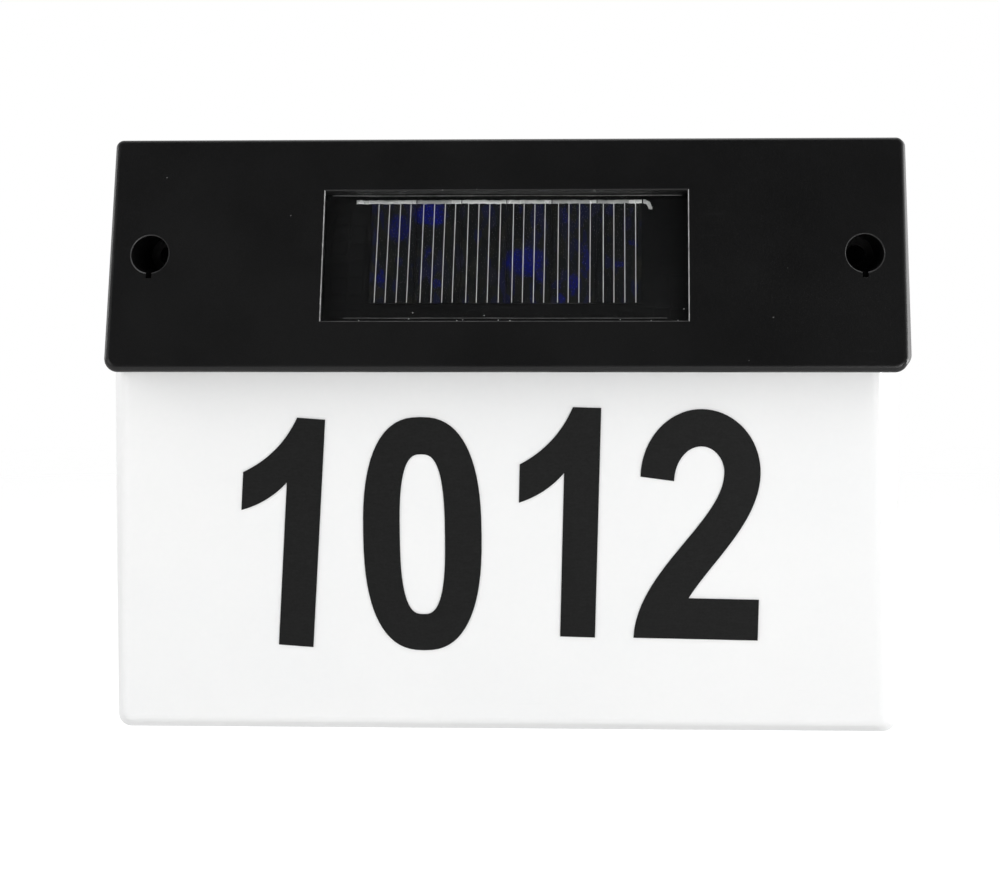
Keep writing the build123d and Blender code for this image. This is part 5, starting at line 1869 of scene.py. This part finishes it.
@dataclass
class Electronics:
    """Boards, battery, diodes, switch, leads and the choke's winding."""

    wire_r: float = 0.17 * MM
    wire_gap: float = 0.02 * MM
    green: Laminate = Laminate("green_board", (0.008, 0.075, 0.03), (0.014, 0.12, 0.045))
    white: Laminate = Laminate("white_board", (0.72, 0.72, 0.7), (0.66, 0.66, 0.62), track_density=180.0)
    nickel: Metal = Metal("nickel_plate", (0.72, 0.7, 0.66), roughness=0.24)
    epoxy_black: Moulded = Moulded("chip_epoxy", (0.015, 0.015, 0.016), roughness=0.5, grain_density=9000.0)
    ferrite: Moulded = Moulded("choke_ferrite", (0.03, 0.03, 0.032), roughness=0.6, grain_density=5000.0)
    copper: Winding = Winding("enamelled_copper", (0.75, 0.3, 0.12))
    red: Moulded = Moulded("lead_red", (0.42, 0.012, 0.01), roughness=0.35, grain_depth=0.01 * MM)
    black: Moulded = Moulded("lead_black", (0.012, 0.012, 0.012), roughness=0.35, grain_depth=0.01 * MM)

    def winding(self, material: Material) -> Object:
        """Copper turns on the waist of the choke, laid side by side by Geometry Nodes.

        Args:
            material: The wire's material.

        Returns:
            The piece.
        """
        low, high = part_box("choke_coil")
        centre = (low + high) / 2
        outer = (high.x - low.x) / 2
        flange = 1.0 * MM
        room = high.y - low.y - 2 * flange
        pitch = 2 * self.wire_r + self.wire_gap
        recipe = GeometryRecipe("choke_turns", material)
        wires = recipe.wires
        turns = recipe.input("Turns", int(room / pitch))
        step = recipe.input("Pitch", float(pitch))
        layers = recipe.input("Layer radius", float(outer - 2.2 * self.wire_r))
        wire = recipe.input("Wire radius", self.wire_r)
        start = recipe.input("Start", float(low.y + flange + pitch / 2 - centre.y))
        offset = wires.combined(z=step)
        line = wires.add("GeometryNodeMeshLine", {"Count": turns, "Offset": offset})
        loop = wires.add("GeometryNodeCurvePrimitiveCircle", {"Resolution": 28, "Radius": layers})
        section = wires.add("GeometryNodeCurvePrimitiveCircle", {"Resolution": 6, "Radius": wire})
        ring = wires.add(
            "GeometryNodeCurveToMesh", {"Curve": loop.outputs[0], "Profile Curve": section.outputs[0]}
        )
        rings = wires.instances(line.outputs[0], ring.outputs[0])
        shift = wires.combined(z=start)
        moved = wires.add("GeometryNodeTranslateInstances", {"Instances": rings, "Translation": shift})
        recipe.close(moved.outputs[0])
        mesh = recipe.mesh("choke_winding")
        mesh.transform(Matrix.Translation(centre) @ Matrix.Rotation(-math.pi / 2, 4, "X"))
        mesh.polygons.foreach_set("use_smooth", [True] * len(mesh.polygons))
        return add_piece("choke_winding", mesh, Body.SIGN)

    def build(self) -> None:
        """Dresses the inner parts and adds the choke's winding."""
        finishes = {
            "control_board": self.green,
            "led_board": self.white,
            "driver_chip": self.epoxy_black,
            "choke_coil": self.ferrite,
            "switch_body": self.nickel,
            "battery_contact_positive": self.nickel,
            "battery_contact_negative": self.nickel,
        }
        made: dict[str, Material] = {}
        for node, finish in finishes.items():
            if finish.name not in made:
                made[finish.name] = finish.material()
            dress(node, made[finish.name])
        red, black = self.red.material(), self.black.material()
        for circuit in ("battery", "solar", "led"):
            dress(f"lead_{circuit}_plus", red)
            dress(f"lead_{circuit}_minus", black)
        low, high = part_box("battery_cell")
        length = high.x - low.x
        sleeve = Sleeve(
            "battery_sleeve",
            (0.05, 0.26, 0.09),
            (0.62, 0.64, 0.62),
            band_from=low.x + 0.76 * length,
            steel_from=low.x + 0.8 * MM,
            steel_until=high.x - 1.9 * MM,
        )
        dress("battery_cell", sleeve.material())
        low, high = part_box("led_1")
        epoxy = Epoxy(
            "diode_epoxy",
            (0.92, 0.94, 0.95),
            (0.9, 0.85, 0.4),
            cloud_above=high.z - 3.6 * MM,
            clear_below=low.z + 1.5 * MM,
        )
        clear = epoxy.material()
        for number in range(4):
            dress(f"led_{number + 1}", clear)
        self.winding(self.copper.material())


# ---------------------------------------------------------------- stage


@dataclass(frozen=True)
class Softbox:
    """A square lamp: where it stands, its side and its power."""

    name: str
    place: tuple[float, float, float]
    side: float
    power: float


@dataclass
class Stage:
    """Floor, backdrop light, lamps and the camera of the photograph."""

    camera_place: tuple[float, float, float] = (27.63 * MM, -602.24 * MM, -10.25 * MM)
    yaw: float = 0.05021
    pitch: float = 0.05521
    roll: float = -0.001
    focal_pixels: float = 2539.73
    floor_height: float = -0.175
    floor_radius: float = 2.4
    floor_sides: int = 96
    floor_fade_from: float = 0.6
    floor_lift: float = 0.4
    target: tuple[float, float, float] = (0.0, -0.02, -0.045)
    ambient: float = 0.68
    front_reflection: float = 0.012
    rear_reflection: float = 0.9
    hole_backing_r: float = 4.0 * MM
    hole_backing_sides: int = 24
    hole_backing_y: float = 0.6 * MM
    lamps: tuple[Softbox, ...] = (
        Softbox("key", (0.6, -0.95, -0.25), 0.6, 11.2),
        Softbox("left_fill", (-0.75, -0.7, 0.3), 0.5, 1.6),
        Softbox("right_edge", (0.85, 0.34, -0.2), 0.45, 6.8),
        Softbox("left_edge", (-0.95, 0.1, 0.3), 0.4, 1.6),
        Softbox("top", (0.1, 0.4, 0.85), 0.5, 1.0),
    )

    def world(self) -> None:
        """White behind for the camera, plain light for the surfaces, soft contrast for gloss."""
        world = bpy.data.worlds.new("studio")
        bpy.context.scene.world = world
        world.use_nodes = True
        wires = Wiring(world.node_tree)
        path = wires.add("ShaderNodeLightPath")
        direction = wires.add("ShaderNodeTexCoord").outputs["Generated"]
        depth = wires.add("ShaderNodeSeparateXYZ", {0: direction}).outputs[1]
        gloss = wires.remap(depth, -0.3, 0.25, self.front_reflection, self.rear_reflection)
        glossy = wires.math("MAXIMUM", path.outputs["Is Glossy Ray"], path.outputs["Is Transmission Ray"])
        seen = wires.between(glossy, self.ambient, gloss)
        strength = wires.between(path.outputs["Is Camera Ray"], seen, 1.0)
        background = world.node_tree.nodes["Background"]
        background.inputs["Color"].default_value = rgba((1.0, 1.0, 1.0))
        wires.feed(background.inputs["Strength"], strength)

    def floor(self) -> None:
        """A round pale floor that fades into the backdrop and keeps the sign's shadow."""
        mesh = disc("floor", self.floor_sides, self.floor_radius)
        mesh.transform(Matrix.Translation((0.0, 0.0, self.floor_height)))
        floor = linked("floor", mesh)
        paint = Paint("floor_paper", 0.9)
        wires = paint.wires
        paint.set("Base Color", rgba((0.86, 0.86, 0.86)))
        paint.set("Specular IOR Level", 0.1)
        camera = wires.add("ShaderNodeLightPath").outputs["Is Camera Ray"]
        lift = wires.times(camera, self.floor_lift)
        paint.set("Emission Color", rgba((1.0, 1.0, 1.0)))
        paint.set("Emission Strength", lift)
        flat = wires.stretched(paint.place, (1.0, 1.0, 0.0))
        reach = wires.vector_math("LENGTH", flat).outputs["Value"]
        edge = wires.remap(reach, self.floor_fade_from, self.floor_radius * 0.95)
        clear = wires.add("ShaderNodeBsdfTransparent")
        faded = wires.add("ShaderNodeMixShader", {0: edge, 1: paint.shader.outputs[0], 2: clear.outputs[0]})
        output = paint.material.node_tree.nodes["Material Output"]
        wires.feed(output.inputs["Surface"], faded.outputs[0])
        mesh.materials.append(paint.material)

    def hole_backing(self) -> None:
        """The dark of the wall behind the two screw holes, where the sign's own shadow falls.

        Each is a small disc just behind the back, clear when seen from behind.
        """
        material = bpy.data.materials.new("wall_in_shadow")
        material.use_nodes = True
        wires = Wiring(material.node_tree)
        dark = wires.add("ShaderNodeBsdfDiffuse", {"Color": rgba((0.01, 0.01, 0.01))})
        clear = wires.add("ShaderNodeBsdfTransparent")
        behind = wires.add("ShaderNodeNewGeometry").outputs["Backfacing"]
        mixed = wires.add("ShaderNodeMixShader", {0: behind, 1: dark.outputs[0], 2: clear.outputs[0]})
        wires.feed(material.node_tree.nodes["Material Output"].inputs["Surface"], mixed.outputs[0])
        for name, side in (("left", -1), ("right", 1)):
            mesh = disc("hole_backing_" + name, self.hole_backing_sides, self.hole_backing_r)
            spot = Vector((side * hole_spacing() / 2, self.hole_backing_y, 0.0))
            mesh.transform(Matrix.Translation(spot) @ Matrix.Rotation(math.pi / 2, 4, "X"))
            mesh.materials.append(material)
            linked(mesh.name, mesh)

    def light(self) -> None:
        """The softboxes, each turned to the sign."""
        for lamp in self.lamps:
            data = bpy.data.lights.new(lamp.name, "AREA")
            data.shape = "SQUARE"
            data.size = lamp.side
            data.energy = lamp.power
            obj = linked(lamp.name, data)
            obj.location = lamp.place
            obj.visible_camera = False
            obj.rotation_euler = (Vector(self.target) - obj.location).to_track_quat("-Z", "Y").to_euler()

    def camera(self) -> None:
        """The camera of the photograph."""
        ahead = Vector((
            -math.sin(self.yaw) * math.cos(self.pitch),
            math.cos(self.yaw) * math.cos(self.pitch),
            -math.sin(self.pitch),
        ))
        level = Vector((math.cos(self.yaw), math.sin(self.yaw), 0.0))
        upright = level.cross(ahead)
        right = level * math.cos(self.roll) + upright * math.sin(self.roll)
        up = upright * math.cos(self.roll) - level * math.sin(self.roll)
        data = bpy.data.cameras.new("camera")
        data.sensor_width = SENSOR_WIDTH
        data.lens = self.focal_pixels / IMAGE_WIDTH * SENSOR_WIDTH
        data.clip_start = 0.01
        camera = linked("camera", data)
        turn = Matrix((right, up, -ahead)).transposed().to_4x4()
        camera.matrix_world = Matrix.Translation(self.camera_place) @ turn
        bpy.context.scene.camera = camera

    def build(self) -> None:
        """Sets up the whole stage."""
        bpy.context.scene.view_settings.view_transform = "Standard"
        self.world()
        self.floor()
        self.hole_backing()
        self.light()
        self.camera()


def main() -> None:
    """Builds the stage and the sign."""
    logging.basicConfig(level=logging.INFO, format="%(name)s %(message)s")
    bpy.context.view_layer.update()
    Stage().build()
    for assembly in (Housing(), SolarPanel(), LightBox(), NumeralSet(), Electronics(), Fasteners()):
        LOG.info("building %s", type(assembly).__name__)
        assembly.build()


if __name__ == "__main__":
    main()
